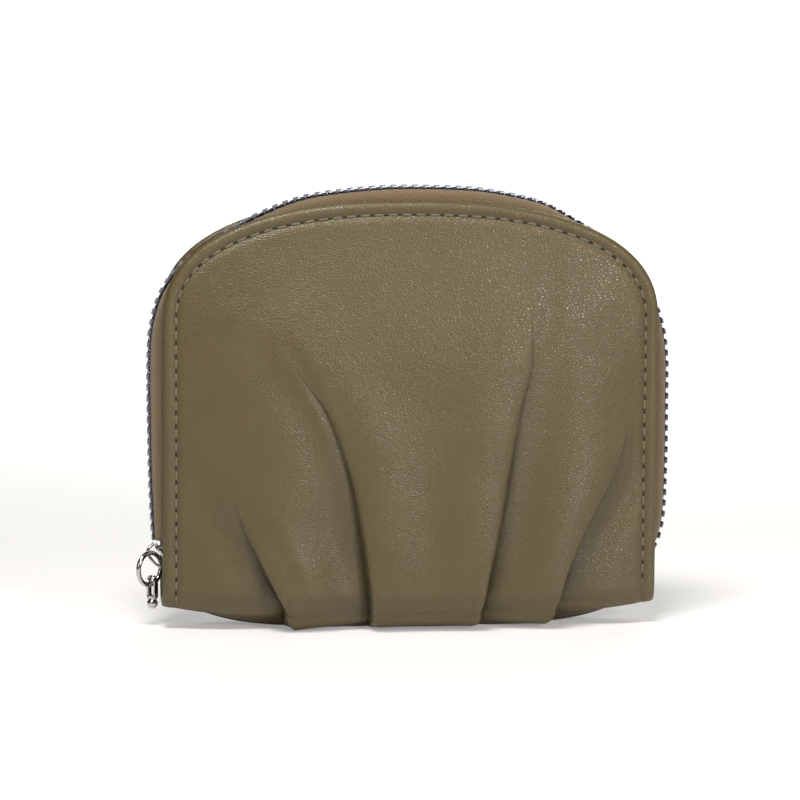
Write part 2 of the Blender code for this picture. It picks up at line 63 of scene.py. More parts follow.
camera_data = bpy.data.cameras.new("camera")
camera_data.lens = CAMERA_LENS
camera_data.shift_x = -8.5 / PICTURE
camera_data.shift_y = 13 / PICTURE
camera_data.clip_start = 0.01
camera = bpy.data.objects.new("camera", camera_data)
bpy.context.scene.collection.objects.link(camera)
away = Vector((math.sin(CAMERA_TURN), -math.cos(CAMERA_TURN), math.tan(CAMERA_RISE))).normalized()
look = (-away).to_track_quat("-Z", "Y").to_matrix().to_4x4()
roll = Matrix.Rotation(CAMERA_ROLL, 4, "Z")
camera.matrix_world = Matrix.Translation(TARGET + away * CAMERA_AWAY) @ look @ roll
bpy.context.scene.camera = camera
print("camera at", tuple(round(v, 3) for v in camera.location))

# %% [markdown]
# ## The studio floor
# A photographer's sweep is a sheet that lies flat and curves up behind the object, so no edge shows.
# A plane gives the flat part, and its far edge is extruded step by step round a quarter circle.
# Operators act on all that is selected, so the helpers here start from nothing selected.

# %% Floor
FLOOR_HALF = 1.6
SWEEP = 0.5
SWEEP_STEPS = 12
SWEEP_WALL = 1.5


def mode(name):
    bpy.ops.object.mode_set(mode=name)


def pick_none():
    if bpy.context.object and bpy.context.object.mode != "OBJECT":
        mode("OBJECT")
    bpy.ops.object.select_all(action="DESELECT")


def take(obj):
    """Select one piece alone and make it the active one."""
    pick_none()
    obj.select_set(True)
    bpy.context.view_layer.objects.active = obj


def pull_apart(obj, chosen, value):
    """Move the vertices that a test chooses, in edit mode."""
    bpy.context.view_layer.objects.active = obj
    mode("EDIT")
    bpy.ops.mesh.select_mode(type="VERT")
    bpy.ops.mesh.select_all(action="DESELECT")
    mode("OBJECT")
    for vert in obj.data.vertices:
        vert.select = chosen(vert.co)
    mode("EDIT")
    bpy.ops.transform.translate(value=value)
    mode("OBJECT")


def plain_material(name, colour, roughness, metallic=0.0):
    made = bpy.data.materials.new(name)
    made.use_nodes = True
    shader = made.node_tree.nodes["Principled BSDF"]
    shader.inputs["Base Color"].default_value = (*colour, 1)
    shader.inputs["Roughness"].default_value = roughness
    shader.inputs["Metallic"].default_value = metallic
    return made, shader


pick_none()
bpy.ops.mesh.primitive_plane_add(size=2 * FLOOR_HALF, location=(0, 0, 0))
floor = bpy.context.object
floor.name = "studio_floor"
mode("EDIT")
bpy.ops.mesh.select_all(action="DESELECT")
mode("OBJECT")
for edge in floor.data.edges:
    edge.select = all(floor.data.vertices[v].co.y > 0 for v in edge.vertices)
mode("EDIT")
bpy.ops.mesh.select_mode(type="EDGE")
stride = SWEEP * math.pi / 2 / SWEEP_STEPS
for step in range(SWEEP_STEPS):
    turn = math.pi / 2 * (step + 0.5) / SWEEP_STEPS
    move = (0, stride * math.cos(turn), stride * math.sin(turn))
    bpy.ops.mesh.extrude_region_move(TRANSFORM_OT_translate={"value": move})
bpy.ops.mesh.extrude_region_move(TRANSFORM_OT_translate={"value": (0, 0, SWEEP_WALL)})
bpy.ops.mesh.select_mode(type="VERT")
mode("OBJECT")
bpy.ops.object.shade_smooth()
print("floor", len(floor.data.polygons), "faces")

# %% [markdown]
# ## Helpers for materials
# A material is a tree of nodes, and each node has settings and inputs. Two helpers make a node and feed
# its inputs in one line, with a number, a colour or another node's output, so a finish reads like a
# recipe. The others are the sums and mixes that every finish needs.

# %% Node helpers


def new_group(name, inputs, outputs):
    """A node group with named inputs, as (name, socket kind, value), and number outputs."""
    group = bpy.data.node_groups.new(name, "ShaderNodeTree")
    for label, kind, value in inputs:
        socket = group.interface.new_socket(name=label, in_out="INPUT", socket_type=kind)
        if value is not None:
            socket.default_value = value
    for label in outputs:
        group.interface.new_socket(name=label, in_out="OUTPUT", socket_type="NodeSocketFloat")
    return group, group.nodes.new("NodeGroupInput"), group.nodes.new("NodeGroupOutput")


def feed(tree, node, feeds):
    """Give each input a number or a colour, or wire another node's output to it."""
    for key, value in feeds.items():
        socket = node.inputs[key]
        if isinstance(value, bpy.types.NodeSocket):
            tree.links.new(value, socket)
        elif socket.type == "RGBA":
            socket.default_value = (*value, 1)
        else:
            socket.default_value = value


def add(tree, kind, feeds, **settings):
    """A new node, its settings first and then its inputs."""
    node = tree.nodes.new(kind)
    for key, value in settings.items():
        setattr(node, key, value)
    feed(tree, node, feeds)
    return node


def maths(tree, operation, first, second=0.0, clamp=False):
    feeds = {0: first, 1: second}
    return add(tree, "ShaderNodeMath", feeds, operation=operation, use_clamp=clamp).outputs[0]


def plus(tree, first, second, clamp=False):
    return maths(tree, "ADD", first, second, clamp)


def times(tree, first, second):
    return maths(tree, "MULTIPLY", first, second)


def turned_round(tree, value):
    """1 minus a mask."""
    return maths(tree, "SUBTRACT", 1.0, value, True)


def blend_colours(tree, factor, first, second):
    feeds = {0: factor, 6: first, 7: second}
    return add(tree, "ShaderNodeMix", feeds, data_type="RGBA").outputs[2]


print("helpers for nodes:", [h.__name__ for h in (new_group, feed, add, maths, plus, times)])

# %% [markdown]
# ### The floor's finish
# The floor glows a little by itself, more towards the back, so it looks nearly white without bright
# lamps. A light path node lets only a share of that glow reach the pouch.

# %% Floor finish
# How much of the floor's own glow reaches the pouch
FLOOR_BOUNCE = 0.3
FLOOR_GLOW = {"From Min": 0.12, "From Max": 0.9, "To Min": 0.25, "To Max": 1.1}

floor_finish, floor_shader = plain_material("pale_floor", (0.78, 0.78, 0.79), 0.7)
tree = floor_finish.node_tree
place = add(tree, "ShaderNodeTexCoord", {}).outputs["Object"]
backwards = add(tree, "ShaderNodeSeparateXYZ", {0: place}).outputs["Y"]
glow = add(tree, "ShaderNodeMapRange", {"Value": backwards, **FLOOR_GLOW}).outputs[0]
rays = add(tree, "ShaderNodeLightPath", {}).outputs["Is Camera Ray"]
share = add(tree, "ShaderNodeMapRange", {"Value": rays, "To Min": FLOOR_BOUNCE}).outputs[0]
feed(tree, floor_shader, {"Emission Color": glow, "Emission Strength": share})
floor.data.materials.append(floor_finish)
print("floor finish has", len(tree.nodes), "nodes")

# %% [markdown]
# ### Lamps
# One soft lamp hangs over the front, and one stands at the front right and draws the sheen on the
# right sides of the rolls. Weaker ones fill from both sides, and the last lights the back for the
# other views. The surroundings stay dim, so polished metal shows both dark and white.

# %% Lamps and surroundings
LAMP_COLOUR = (1.0, 0.965, 0.905)
LAMP_AIM = Vector((0, 0, 0.045))


def soft_lamp(name, place, size, power):
    lamp = bpy.data.lights.new(name, "AREA")
    lamp.color = LAMP_COLOUR
    lamp.shape = "RECTANGLE"
    lamp.size, lamp.size_y = size
    lamp.energy = power
    obj = bpy.data.objects.new(name, lamp)
    bpy.context.scene.collection.objects.link(obj)
    facing = (LAMP_AIM - Vector(place)).to_track_quat("-Z", "Y").to_matrix().to_4x4()
    obj.matrix_world = Matrix.Translation(place) @ facing


soft_lamp("lamp_over", (-0.10, -0.28, 0.58), (0.24, 0.18), 3.4)
soft_lamp("lamp_front", (0.42, -0.76, 0.35), (0.18, 0.16), 3.0)
soft_lamp("lamp_front_left", (-0.50, -0.66, 0.36), (0.2, 0.3), 0.6)
soft_lamp("lamp_right", (0.60, -0.02, 0.24), (0.25, 0.4), 0.45)
soft_lamp("lamp_back", (0.25, 0.70, 0.55), (0.6, 0.4), 2.2)

world = bpy.data.worlds.new("studio")
bpy.context.scene.world = world
world.use_nodes = True
surroundings = world.node_tree.nodes["Background"]
surroundings.inputs["Color"].default_value = (0.93, 0.95, 1.0, 1)
surroundings.inputs["Strength"].default_value = 0.06
bpy.context.scene.view_settings.view_transform = "Standard"
print("studio ready")

# %% [markdown]
# ## The outline and its sizes
# The same named sizes that shaped the solids shape the fine surface, so both agree. The outline is
# straight up the sides and a superellipse over the top. Distances from the edge place the turned rim,
# the stitches and the zip.

# %% Outline of a panel
HALF_WIDTH = 0.1072 / 2
PANEL_HEIGHT = 0.0924
SHOULDER_RISE = 0.0262
SHOULDER_FULLNESS = 2.4
SHOULDER_Z = PANEL_HEIGHT - SHOULDER_RISE
LEATHER = 0.0018
RIM_WIDTH = 0.0029
RIM_BAND = 2 * RIM_WIDTH
CORNER_CUT = 0.0018
CORNER_CUT_HEIGHT = 0.0070


def ease(share):
    """A soft step from 0 to 1."""
    share = np.clip(share, 0.0, 1.0)
    return share * share * (3 - 2 * share)


def fullness(share):
    """The superellipse: how much of one half axis is left at a share of the other."""
    return (1 - share**SHOULDER_FULLNESS) ** (1 / SHOULDER_FULLNESS)


def edge_x(z):
    """Half of the panel's width at height z."""
    z = np.asarray(z, float)
    cut = HALF_WIDTH - CORNER_CUT * (1 - np.minimum(z, CORNER_CUT_HEIGHT) / CORNER_CUT_HEIGHT) ** 2
    rise = np.clip((z - SHOULDER_Z) / SHOULDER_RISE, 0.0, 1.0)
    return np.where(z < CORNER_CUT_HEIGHT, cut, HALF_WIDTH * fullness(rise))


def top_z(x):
    """Height of the panel's top edge at x."""
    out = np.clip(np.abs(x) / HALF_WIDTH, 0.0, 1.0)
    return SHOULDER_Z + SHOULDER_RISE * fullness(out)


def rim_line(steps=90):
    """Points round the edge from the lower left, over the top, to the lower right."""
    heights = np.linspace(0.0, SHOULDER_Z, steps, endpoint=False)
    turns = np.linspace(0.0, math.pi / 2, steps)
    power = 2 / SHOULDER_FULLNESS
    arch_z = SHOULDER_Z + SHOULDER_RISE * np.sin(turns) ** power
    arch = np.stack([-HALF_WIDTH * np.cos(turns) ** power, arch_z], 1)
    left = np.concatenate([np.stack([-edge_x(heights), heights], 1), arch])
    right = left[:-1][::-1] * (-1, 1)
    return np.concatenate([left, right])


RIM = rim_line()


def rim_distance(x, z):
    """How far points lie inside the edge, measured to the line between the rim's points."""
    best = np.full(x.shape, 1.0)
    for (ax, az), (bx, bz) in zip(RIM[:-1], RIM[1:]):
        run_x, run_z = bx - ax, bz - az
        share = np.clip(((x - ax) * run_x + (z - az) * run_z) / (run_x**2 + run_z**2 + 1e-18), 0, 1)
        best = np.minimum(best, np.hypot(x - ax - share * run_x, z - az - share * run_z))
    return best


print("rim points", len(RIM))

# %% [markdown]
# ## The rim and the belly
# Each panel is a soft pillow: held back at its stitched rim, full in the middle. The rim is where the
# leather is turned over, so it is a small roll, with a valley inside it where the thread pulls. Every
# form is a function of the place on the panel that gives a height, because heights can be added up.

# %% Rim and belly
RIM_ROUND = 0.0011
RIM_CROWN = 0.00022
RIM_CHORD = 0.000004
STITCH_VALLEY = 0.00045
VALLEY_WIDTH = 0.0008
RIM_INNER = 0.0050
RIM_CLOSED = 0.0008
CLOSING_HEIGHT = 0.0085
BELLY = 0.0068
BELLY_REACH = 0.0150
BELLY_POWER = 1.5
WAVE_HEIGHT = 0.00009
BELLY_ROWS = {
    "height": (0.0, 0.06, 0.12, 0.28, 0.45, 0.62, 0.80, 1.0),
    "bulge": (0.72, 0.84, 0.90, 1.00, 0.97, 0.82, 0.53, 0.30),
}


def rim_inner(z):
    """Inner face of the rim: the two panels close on each other towards the lower corners."""
    return RIM_CLOSED + (RIM_INNER - RIM_CLOSED) * ease(z / CLOSING_HEIGHT)


def rim_profile(distance):
    """The turned edge is a soft roll that rounds back at the rim, with the stitches' valley inside."""
    back = np.clip(RIM_ROUND - (distance - RIM_CHORD), 0.0, RIM_ROUND)
    rounded = RIM_ROUND - np.sqrt(RIM_ROUND**2 - back**2)
    valley = STITCH_VALLEY * np.exp(-(((distance - RIM_WIDTH) / VALLEY_WIDTH) ** 2))
    crown = RIM_CROWN * np.sin(math.pi * np.clip(distance / RIM_WIDTH, 0, 1))
    return crown - rounded - valley


def soft_waves(x, z):
    """Very slight hand-made unevenness, from a few long waves with fixed phases."""
    wave = np.sin(x * 260 + 1.3) * np.sin(z * 210 + 0.4) + 0.6 * np.sin(x * 410 - z * 330 + 2.1)
    return WAVE_HEIGHT * wave


print("thickest at the belly:", round((RIM_INNER + LEATHER + BELLY) / MM, 1), "mm from the middle")

# %% [markdown]
# ## The tucks
# Four tucks fan up the front from the lower edge. Each is a fold whose inner side lies on top with a
# rounded edge, and whose outer side comes out from under it. A table says where each fold's line runs
# at several heights, as shares of the half width, and a smooth curve goes through each row.

# %% Lines of the tucks
GUIDE_HEIGHTS = (0.0, 0.10, 0.20, 0.35, 0.50, 0.65, 1.0)
GUIDES = {
    "tuck_a": (-0.510, -0.600, -0.677, -0.760, -0.790, -0.760, -0.580),
    "tuck_b": (-0.166, -0.190, -0.216, -0.262, -0.350, -0.500, -0.430),
    "middle": (0.060, 0.060, 0.058, 0.055, 0.045, 0.020, 0.005),
    "tuck_c": (0.275, 0.305, 0.342, 0.382, 0.425, 0.476, 0.430),
    "tuck_d": (0.581, 0.632, 0.706, 0.830, 0.880, 0.840, 0.580),
}
TUCKS = {
    "tuck_a": {"side": -1, "depth": 1.00, "run": 0.26, "drop": 1.00},
    "tuck_b": {"side": -1, "depth": 0.84, "run": 0.66, "drop": 0.20},
    "tuck_c": {"side": 1, "depth": 0.88, "run": 0.80, "drop": 0.20},
    "tuck_d": {"side": 1, "depth": 1.05, "run": 0.48, "drop": 0.70},
}


def guide_x(name, share):
    """Place across of a guide at shares of the height, as a smooth curve through its row."""
    row, heights = np.array(GUIDES[name]), np.array(GUIDE_HEIGHTS)
    last = len(row) - 1
    share = np.asarray(share, float)
    k = np.clip(np.searchsorted(heights, share, side="right") - 1, 0, last - 1)
    before, after = np.maximum(np.arange(last + 1) - 1, 0), np.minimum(np.arange(last + 1) + 1, last)
    slope = (row[after] - row[before]) / (heights[after] - heights[before])
    span = heights[k + 1] - heights[k]
    t = (share - heights[k]) / span
    start = (2 * t**3 - 3 * t**2 + 1) * row[k] + (t**3 - 2 * t**2 + t) * span * slope[k]
    end = (3 * t**2 - 2 * t**3) * row[k + 1] + (t**3 - t**2) * span * slope[k + 1]
    return HALF_WIDTH * (start + end)


for name in TUCKS:
    print(name, "starts", round(float(guide_x(name, 0.0)) / MM, 1), "mm from the middle")

# %% [markdown]
# ### Folds and the rolls above them
# Next to its line a fold is steep, and further out it fades. Above the folds the gathered leather puffs
# out in broad rolls with hollows between them, which is what catches the light. Each roll is a bell
# curve beside the fold's line that dies away up the panel.

# %% Folds and rolls
TUCK_DEPTH = 0.0032
TUCK_FADE = 0.0110
VALLEY_SHARE = 0.50
VALLEY_FADE = 0.0060
NOTCH_SHARE = 0.34
NOTCH_FADE = 0.0016
FOLD_EDGE_FOOT = 0.0021
FOLD_EDGE_HEAD = 0.0115
FOLD_FADE_POWER = 0.75
FOLD_OVERHANG = 0.00055
# How far the painted shade beside each fold's line reaches, outside and inside the line
FOLD_SHADE_CLOSE = 0.0016
FOLD_SHADE_WIDE = 0.0042
FOLD_SHADE_INNER = 0.0006
# One row a form beside the fold's line: its middle outwards from the line and its half width in
# millimetres, and its height
PUFFS = (
    {"out": -7.6, "wide": 6.4, "high": 1.65},
    {"out": 5.0, "wide": 4.6, "high": -1.75},
)
PUFF_AT_FOOT = 0.35
PUFF_START = 0.2
PUFF_RUNS = {"tuck_a": 0.50, "tuck_b": 0.90, "tuck_c": 0.94, "tuck_d": 0.80}


def tuck_relief(x, share):
    """Height of the folds over the plain panel, how far their edges hang over, and the painted shade
    that darkens the colour beside their lines.
    """
    height, hang, painted_shade, puffs = (np.zeros(x.shape) for _ in range(4))
    for name, row in TUCKS.items():
        out = (x - guide_x(name, share)) * row["side"]
        up = ease(share / row["run"])
        edge = FOLD_EDGE_FOOT + (FOLD_EDGE_HEAD - FOLD_EDGE_FOOT) * up
        across = np.clip(-out / edge, 0, 1)
        top = np.exp(np.minimum(out, 0) / TUCK_FADE) * np.sqrt(1 - (1 - across) ** 2)
        outer = np.maximum(out, 0)
        under = -VALLEY_SHARE * np.exp(-outer / VALLEY_FADE)
        under -= NOTCH_SHARE * np.exp(-outer / NOTCH_FADE)
        strength = row["depth"] * (1 - up) ** FOLD_FADE_POWER
        height += strength * np.where(out < 0, top, under)
        hang += row["side"] * strength * 4 * across * (1 - across) * (out < 0)
        close = np.exp(-outer / FOLD_SHADE_CLOSE) + 0.5 * np.exp(-outer / FOLD_SHADE_WIDE)
        started = PUFF_AT_FOOT + (1 - PUFF_AT_FOOT) * ease(share / PUFF_START)
        soft = row["depth"] * (1 - ease(share / PUFF_RUNS[name])) * started
        for puff in PUFFS:
            away = (out / MM - puff["out"]) / puff["wide"]
            puffs += soft * puff["high"] * MM * np.exp(-(away**2))
        # Painted shade: the colour is made darker beside each fold's line, where shadow falls
        painted_shade += strength * close * np.exp(-((np.minimum(out, 0) / FOLD_SHADE_INNER) ** 2))
    return height * TUCK_DEPTH + puffs, hang * FOLD_OVERHANG, painted_shade


print("rolls beside each fold:", len(PUFFS))

# %% [markdown]
# ### Creases, and the whole depth
# Folded leather wrinkles slightly beside the folds. A few slanting grooves with softly raised sides are
# pressed in, and then one function adds all the forms up.

# %% Creases and depth
# One row a crease: its middle across and up and its length in millimetres, its slant from the
# vertical in degrees, its depth and its width in millimetres
CREASES = (
    (-39.5, 20.5, 8.0, 58, 0.13, 1.1),
    (-36.4, 17.2, 7.0, 48, 0.14, 1.0),
    (-26.0, 60.5, 11.0, 36, 0.12, 1.5),
    (-22.8, 54.5, 11.0, 33, 0.16, 1.3),
    (-20.6, 50.0, 9.0, 30, 0.17, 1.1),
    (-18.2, 45.0, 9.0, 26, 0.16, 1.1),
    (-16.4, 39.5, 8.0, 20, 0.12, 1.0),
    (29.0, 67.0, 15.0, -8, 0.20, 1.9),
    (26.2, 61.0, 9.0, -14, 0.14, 1.3),
    (47.0, 36.5, 9.0, -16, 0.14, 1.3),
    (-28.0, 15.0, 12.0, 26, 0.30, 2.2),
)


def crease_depth(x, z):
    """Small wrinkles, each a groove with softly raised sides."""
    total = np.zeros(x.shape)
    for middle_x, middle_z, length, slant, deep, wide in CREASES:
        turn = math.radians(slant)
        dx, dz = x - middle_x * MM, z - middle_z * MM
        along = -dx * math.sin(turn) + dz * math.cos(turn)
        across = (dx * math.cos(turn) + dz * math.sin(turn)) / (wide * MM)
        reach = np.exp(-((along / (length * MM / 2)) ** 2))
        total -= deep * MM * reach * (1 - across**2) * np.exp(-(across**2) / 2)
    return total


def panel_depth(x, z, share, tucks):
    """Distance of a panel's outer face from the middle plane, its overhang and its painted shade."""
    distance = rim_distance(x, z)
    bulge = np.interp(share, BELLY_ROWS["height"], BELLY_ROWS["bulge"])
    inside = 1 - np.exp(-((distance / BELLY_REACH) ** BELLY_POWER))
    held = ease(distance / RIM_BAND)
    depth = rim_inner(z) + LEATHER + BELLY * bulge * inside + rim_profile(distance)
    depth = depth + soft_waves(x, z) * held
    hang, painted_shade = np.zeros(x.shape), np.zeros(x.shape)
    if tucks:
        height, hang, painted_shade = tuck_relief(x, share)
        depth = depth + (height + crease_depth(x, z)) * held
    return depth, hang * held, painted_shade * held


print("creases:", len(CREASES))

# %% [markdown]
# ## The lower edge
# The front's lower edge is turned under. Its folds hang a little lower than the leather between them,
# and the corners lift off the table. The back carries on under the base and meets it at a seam.

# %% Lower edge
HEM_REST = 0.0017
CORNER_LIFT = 0.0032
CORNER_LIFT_POWER = 2.5
BASE_FLAT = 0.35
BASE_POWER = 1.5
TUCK_FOLD = 0.0029
TUCK_GROOVE = 0.3
TUCK_DROP = 0.0026


def tuck_drop(x):
    """How far the folds hang down over the lower edge, as shares of a full drop."""
    total = np.zeros(x.shape)
    for name, row in TUCKS.items():
        out = (x - guide_x(name, 0.0)) * row["side"]
        top = np.exp(np.minimum(out, 0) / TUCK_FADE) * ease(-out / (TUCK_FOLD * 0.75))
        groove = -TUCK_GROOVE * np.exp(-np.maximum(out, 0) / TUCK_FOLD)
        total += row["drop"] * np.where(out < 0, top, groove)
    return total


def hem_z(x, tucks):
    """Height of the lower edge."""
    out = np.abs(x) / HALF_WIDTH
    if not tucks:
        beyond = np.maximum(0.0, out - BASE_FLAT) / (1 - BASE_FLAT)
        return (HEM_REST + CORNER_LIFT) * beyond**BASE_POWER
    lifted = HEM_REST + CORNER_LIFT * out**CORNER_LIFT_POWER
    return np.maximum(0.0, lifted - TUCK_DROP * tuck_drop(x))


print("corners lift", round(CORNER_LIFT / MM, 1), "mm")

# %% [markdown]
# ## A panel as one sheet
# A grid primitive is a good start for cloth: its columns and rows can follow the form. Here the columns
# crowd together along each fold, and the rows crowd at the rim, so a modest grid holds sharp folds.
# Where the first column meets the last row the cells would close up, so there they are drawn inwards.

# %% Columns and rows of a sheet
RIM_STEPS = np.array(
    (0.0, 0.02, 0.06, 0.13, 0.22, 0.33, 0.48, 0.64, 0.80, 0.90, 1.0, 1.10, 1.22, 1.45, 1.7)
)
FOLD_INSIDE = (
    *(-9, -7.6, -6.3, -5.2, -4.3, -3.6, -3.0, -2.5, -2.0, -1.6),
    *(-1.3, -1.05, -0.83, -0.64, -0.48, -0.35, -0.24, -0.15, -0.08, -0.03),
)
FOLD_OUTSIDE = (0.0, 0.03, 0.12, 0.26, 0.48, 0.8, 1.2, 1.7, 2.3, 3.1, 4.0)
FOLD_STEPS = MM * np.array(FOLD_INSIDE + FOLD_OUTSIDE)
EVEN_STEP = 0.3
EVEN_STEPS = (np.arange(len(FOLD_STEPS)) - len(FOLD_INSIDE)) * EVEN_STEP * MM
LEAST_STEP = 0.00005
NARROWING = 0.45
NARROW_FROM = 0.45
FADED_FROM = 0.55
PLAIN_BETWEEN = (9, 12, 9, 9, 12, 7)
BACK_COLUMNS = 90
HEM_ROUND = 0.0026


def side_x(share):
    """Place across of the outermost column, up the side and round half of the shoulder."""
    foot = CORNER_LIFT + HEM_ROUND
    shoulder = HALF_WIDTH * 0.5 ** (1 / SHOULDER_FULLNESS)
    return float(edge_x(foot + share * (top_z(shoulder) - foot)))


def with_rims(line, side):
    rims = RIM_STEPS * RIM_WIDTH
    return np.concatenate([rims - side, line, (side - rims)[::-1]])


def gathered_columns(share, side):
    """Places across of the front's columns: rims, lines that crowd at folds, plain ones between."""
    start, end = RIM_BAND - side, side - RIM_BAND
    narrow = 1 - NARROWING * float(ease((share - NARROW_FROM) / (1 - NARROW_FROM)))
    groups = []
    for name, row in TUCKS.items():
        faded = float(ease((share / row["run"] - FADED_FROM) / (1 - FADED_FROM)))
        steps = FOLD_STEPS * (1 - faded) + EVEN_STEPS * faded
        groups.append(np.sort(guide_x(name, share) + row["side"] * steps * narrow))
        if name == "tuck_b":
            groups.append(np.array([float(guide_x("middle", share))]))
    places, previous = [np.array([start])], start
    for group, between in zip(groups + [np.array([end])], PLAIN_BETWEEN):
        places.append(np.linspace(previous, group[0], between + 2)[1:-1])
        places.append(group)
        previous = group[-1]
    line = np.concatenate(places)
    low = start + LEAST_STEP * np.arange(len(line))
    high = end - LEAST_STEP * np.arange(len(line))[::-1]
    line = np.minimum(np.maximum.accumulate(np.maximum(line, low)), high)
    return with_rims(line, side)


def plain_columns(share, side):
    """The same for the back, which has no folds."""
    return with_rims(np.linspace(RIM_BAND - side, side - RIM_BAND, BACK_COLUMNS), side)


for label, columns in (("front", gathered_columns), ("back", plain_columns)):
    print(label, "columns", len(columns(0.0, side_x(0.0))))

# %% [markdown]
# ### Round shoulders
# At the shoulders a column and a row of the sheet run almost the same way. Each point there is pushed
# inwards until it lies as far from the edge as its own column and row ask.

# %% Shoulders of a sheet
SLOPE_STEP = 0.0002
SETTLE_ROUNDS = 3
SETTLE_FROM = 0.85


def settle_shoulders(x, z, inward, below, side_lean, top_lean):
    """Draw points inwards until each lies as far from the edge as its column and row ask."""
    near = side_lean * inward + 1e-9
    under = top_lean * below + 1e-9
    wanted = 1 / np.sqrt(near**-2 + under**-2)
    slope = math.atan2(SHOULDER_RISE, HALF_WIDTH)
    for _ in range(SETTLE_ROUNDS):
        push = np.maximum(0.0, wanted - rim_distance(x, z))
        x = x - np.sign(x) * push * math.sin(slope)
        z = z - push * math.cos(slope)
    return x, z


def side_slope(z):
    """How much of a step inwards from the side edge is straight away from it."""
    rise = edge_x(z + SLOPE_STEP) - edge_x(z - SLOPE_STEP)
    return 1 / np.hypot(1, rise / (2 * SLOPE_STEP))


def top_slope(x):
    """The same for a step down from the top edge."""
    rise = top_z(x + SLOPE_STEP) - top_z(x - SLOPE_STEP)
    return 1 / np.hypot(1, rise / (2 * SLOPE_STEP))


print("side slope at mid shoulder", round(float(side_slope(SHOULDER_Z + SHOULDER_RISE / 2)), 2))

# %% [markdown]
# ### From rows to a sheet
# The rows are worked out first, with arrays, which is quick and exact. Then the vertices of a grid
# primitive are moved onto them, and a Solidify modifier gives the sheet its wall. How deep each point
# lies in a fold is kept as an attribute, which the leather's colour reads as painted shade.

# %% Build a sheet from its rows
SEAM_GAP = 0.0003
SEAM_FORWARD = 0.0030
SEAM_REACH = 0.85
SEAM_FLAT = 0.35
SEAM_POWER = 3
HEM_END_UP = 0.7
HEM_END_IN = 1.25
HEM_SHARE = 0.6
FRONT_ROWS = 165
BACK_ROWS = 80
LAST_PLAIN_ROW = 0.915


def panel_rows(tucks, facing):
    """Grids of x, depth, z and painted shade, one row at a time."""
    columns = gathered_columns if tucks else plain_columns
    feet, heads = columns(0.0, side_x(0.0)), columns(1.0, side_x(1.0))
    hems = hem_z(feet, tucks)
    zero = np.zeros(feet.shape)
    fronts, hangs, _ = panel_depth(feet, hems + HEM_ROUND, zero, tucks)
    middle = 1 - np.minimum(np.abs(feet) / (SEAM_REACH * HALF_WIDTH), 1.0) ** SEAM_POWER
    seams = SEAM_GAP / 2 - facing * SEAM_FORWARD * middle
    turns = np.minimum(HEM_ROUND, HEM_SHARE * (fronts - seams))
    seam_z = hems * (1 - middle)
    rows = []
    for flat in (0.0, 0.5, 1.0):
        rows.append((feet, seams + (fronts - turns - seams) * SEAM_FLAT * flat, seam_z, zero))
    end_z = hems * HEM_END_UP + seam_z * (1 - HEM_END_UP)
    rows.append((feet, fronts - turns * HEM_END_IN, end_z, zero))
    for angle in np.radians((0, 15, 30, 45, 60, 75)):
        depth = fronts - turns * (1 - math.sin(angle))
        z = hems + turns * (1 - math.cos(angle))
        rows.append((feet + hangs * math.sin(angle), depth, z, zero))
    count = FRONT_ROWS if tucks else BACK_ROWS
    ups = [(share, None) for share in np.linspace(0.0, LAST_PLAIN_ROW, count)]
    rises = top_z(heads) - hems - turns
    rim_rows = [RIM_BAND] + list(RIM_STEPS[::-1] * RIM_WIDTH)
    for share, down in ups + [(None, down) for down in rim_rows]:
        here = 1 - down / rises if share is None else np.full(feet.shape, share)
        z = hems + turns + here * rises
        corner = hems[0] + turns[0] + here * rises[0]
        side = edge_x(corner)
        if share is None:
            x = np.array([columns(h, w)[k] for k, (h, w) in enumerate(zip(here, side))])
        else:
            x = columns(share, float(side[0]))
        if corner.max() > SHOULDER_Z * SETTLE_FROM:
            inward, below = side - np.abs(x), top_z(heads) - z
            x, z = settle_shoulders(x, z, inward, below, side_slope(corner), top_slope(heads))
        depth, hang, painted_shade = panel_depth(x, z, here, tucks)
        rows.append((x + hang, depth, z, painted_shade))
    return rows


def apply_modifier(obj, kind, **settings):
    """Add a modifier, set it and apply it."""
    made = obj.modifiers.new(kind.lower(), kind)
    for key, value in settings.items():
        setattr(made, key, value)
    bpy.context.view_layer.objects.active = obj
    bpy.ops.object.modifier_apply(modifier=made.name)


def grid_sheet(name, rows, facing, thickness, offset, material):
    """A grid primitive moved onto the rows, then given its wall."""
    up, across = len(rows), len(rows[0][0])
    pick_none()
    bpy.ops.mesh.primitive_grid_add(x_subdivisions=across - 1, y_subdivisions=up - 1, size=1)
    obj = bpy.context.object
    obj.name = name
    mesh = obj.data
    flat = np.zeros(len(mesh.vertices) * 3)
    mesh.vertices.foreach_get("co", flat)
    flat = flat.reshape(-1, 3)
    i = np.rint((flat[:, 0] + 0.5) * (across - 1)).astype(int)
    j = np.rint((flat[:, 1] + 0.5) * (up - 1)).astype(int)
    table = np.array([list(row) for row in rows])
    x, depth, z, painted_shade = (table[j, c, i] for c in range(4))
    mesh.vertices.foreach_set("co", np.stack([x, facing * depth, z], 1).ravel())
    # Each point's painted shade is kept here, and the leather's colour darkens the folds by it
    marks = mesh.attributes.new("painted_fold_shade", "FLOAT", "POINT")
    marks.data.foreach_set("value", painted_shade)
    mesh.update()
    faces_y = sum(face.normal.y * face.area for face in mesh.polygons)
    if faces_y * facing < 0:
        mode("EDIT")
        bpy.ops.mesh.select_all(action="SELECT")
        bpy.ops.mesh.flip_normals()
        mode("OBJECT")
    apply_modifier(obj, "SOLIDIFY", thickness=thickness, offset=offset)
    bpy.ops.object.shade_smooth()
    mesh.materials.append(material)
    print(name, len(mesh.polygons), "faces")
    return obj


# %% [markdown]
# ## Shared finishes
# Leather grain, weave and handling marks are effects that materials share, so each is a node group
# with named inputs. A group puts out heights and masks only, and the shader stays in the material.

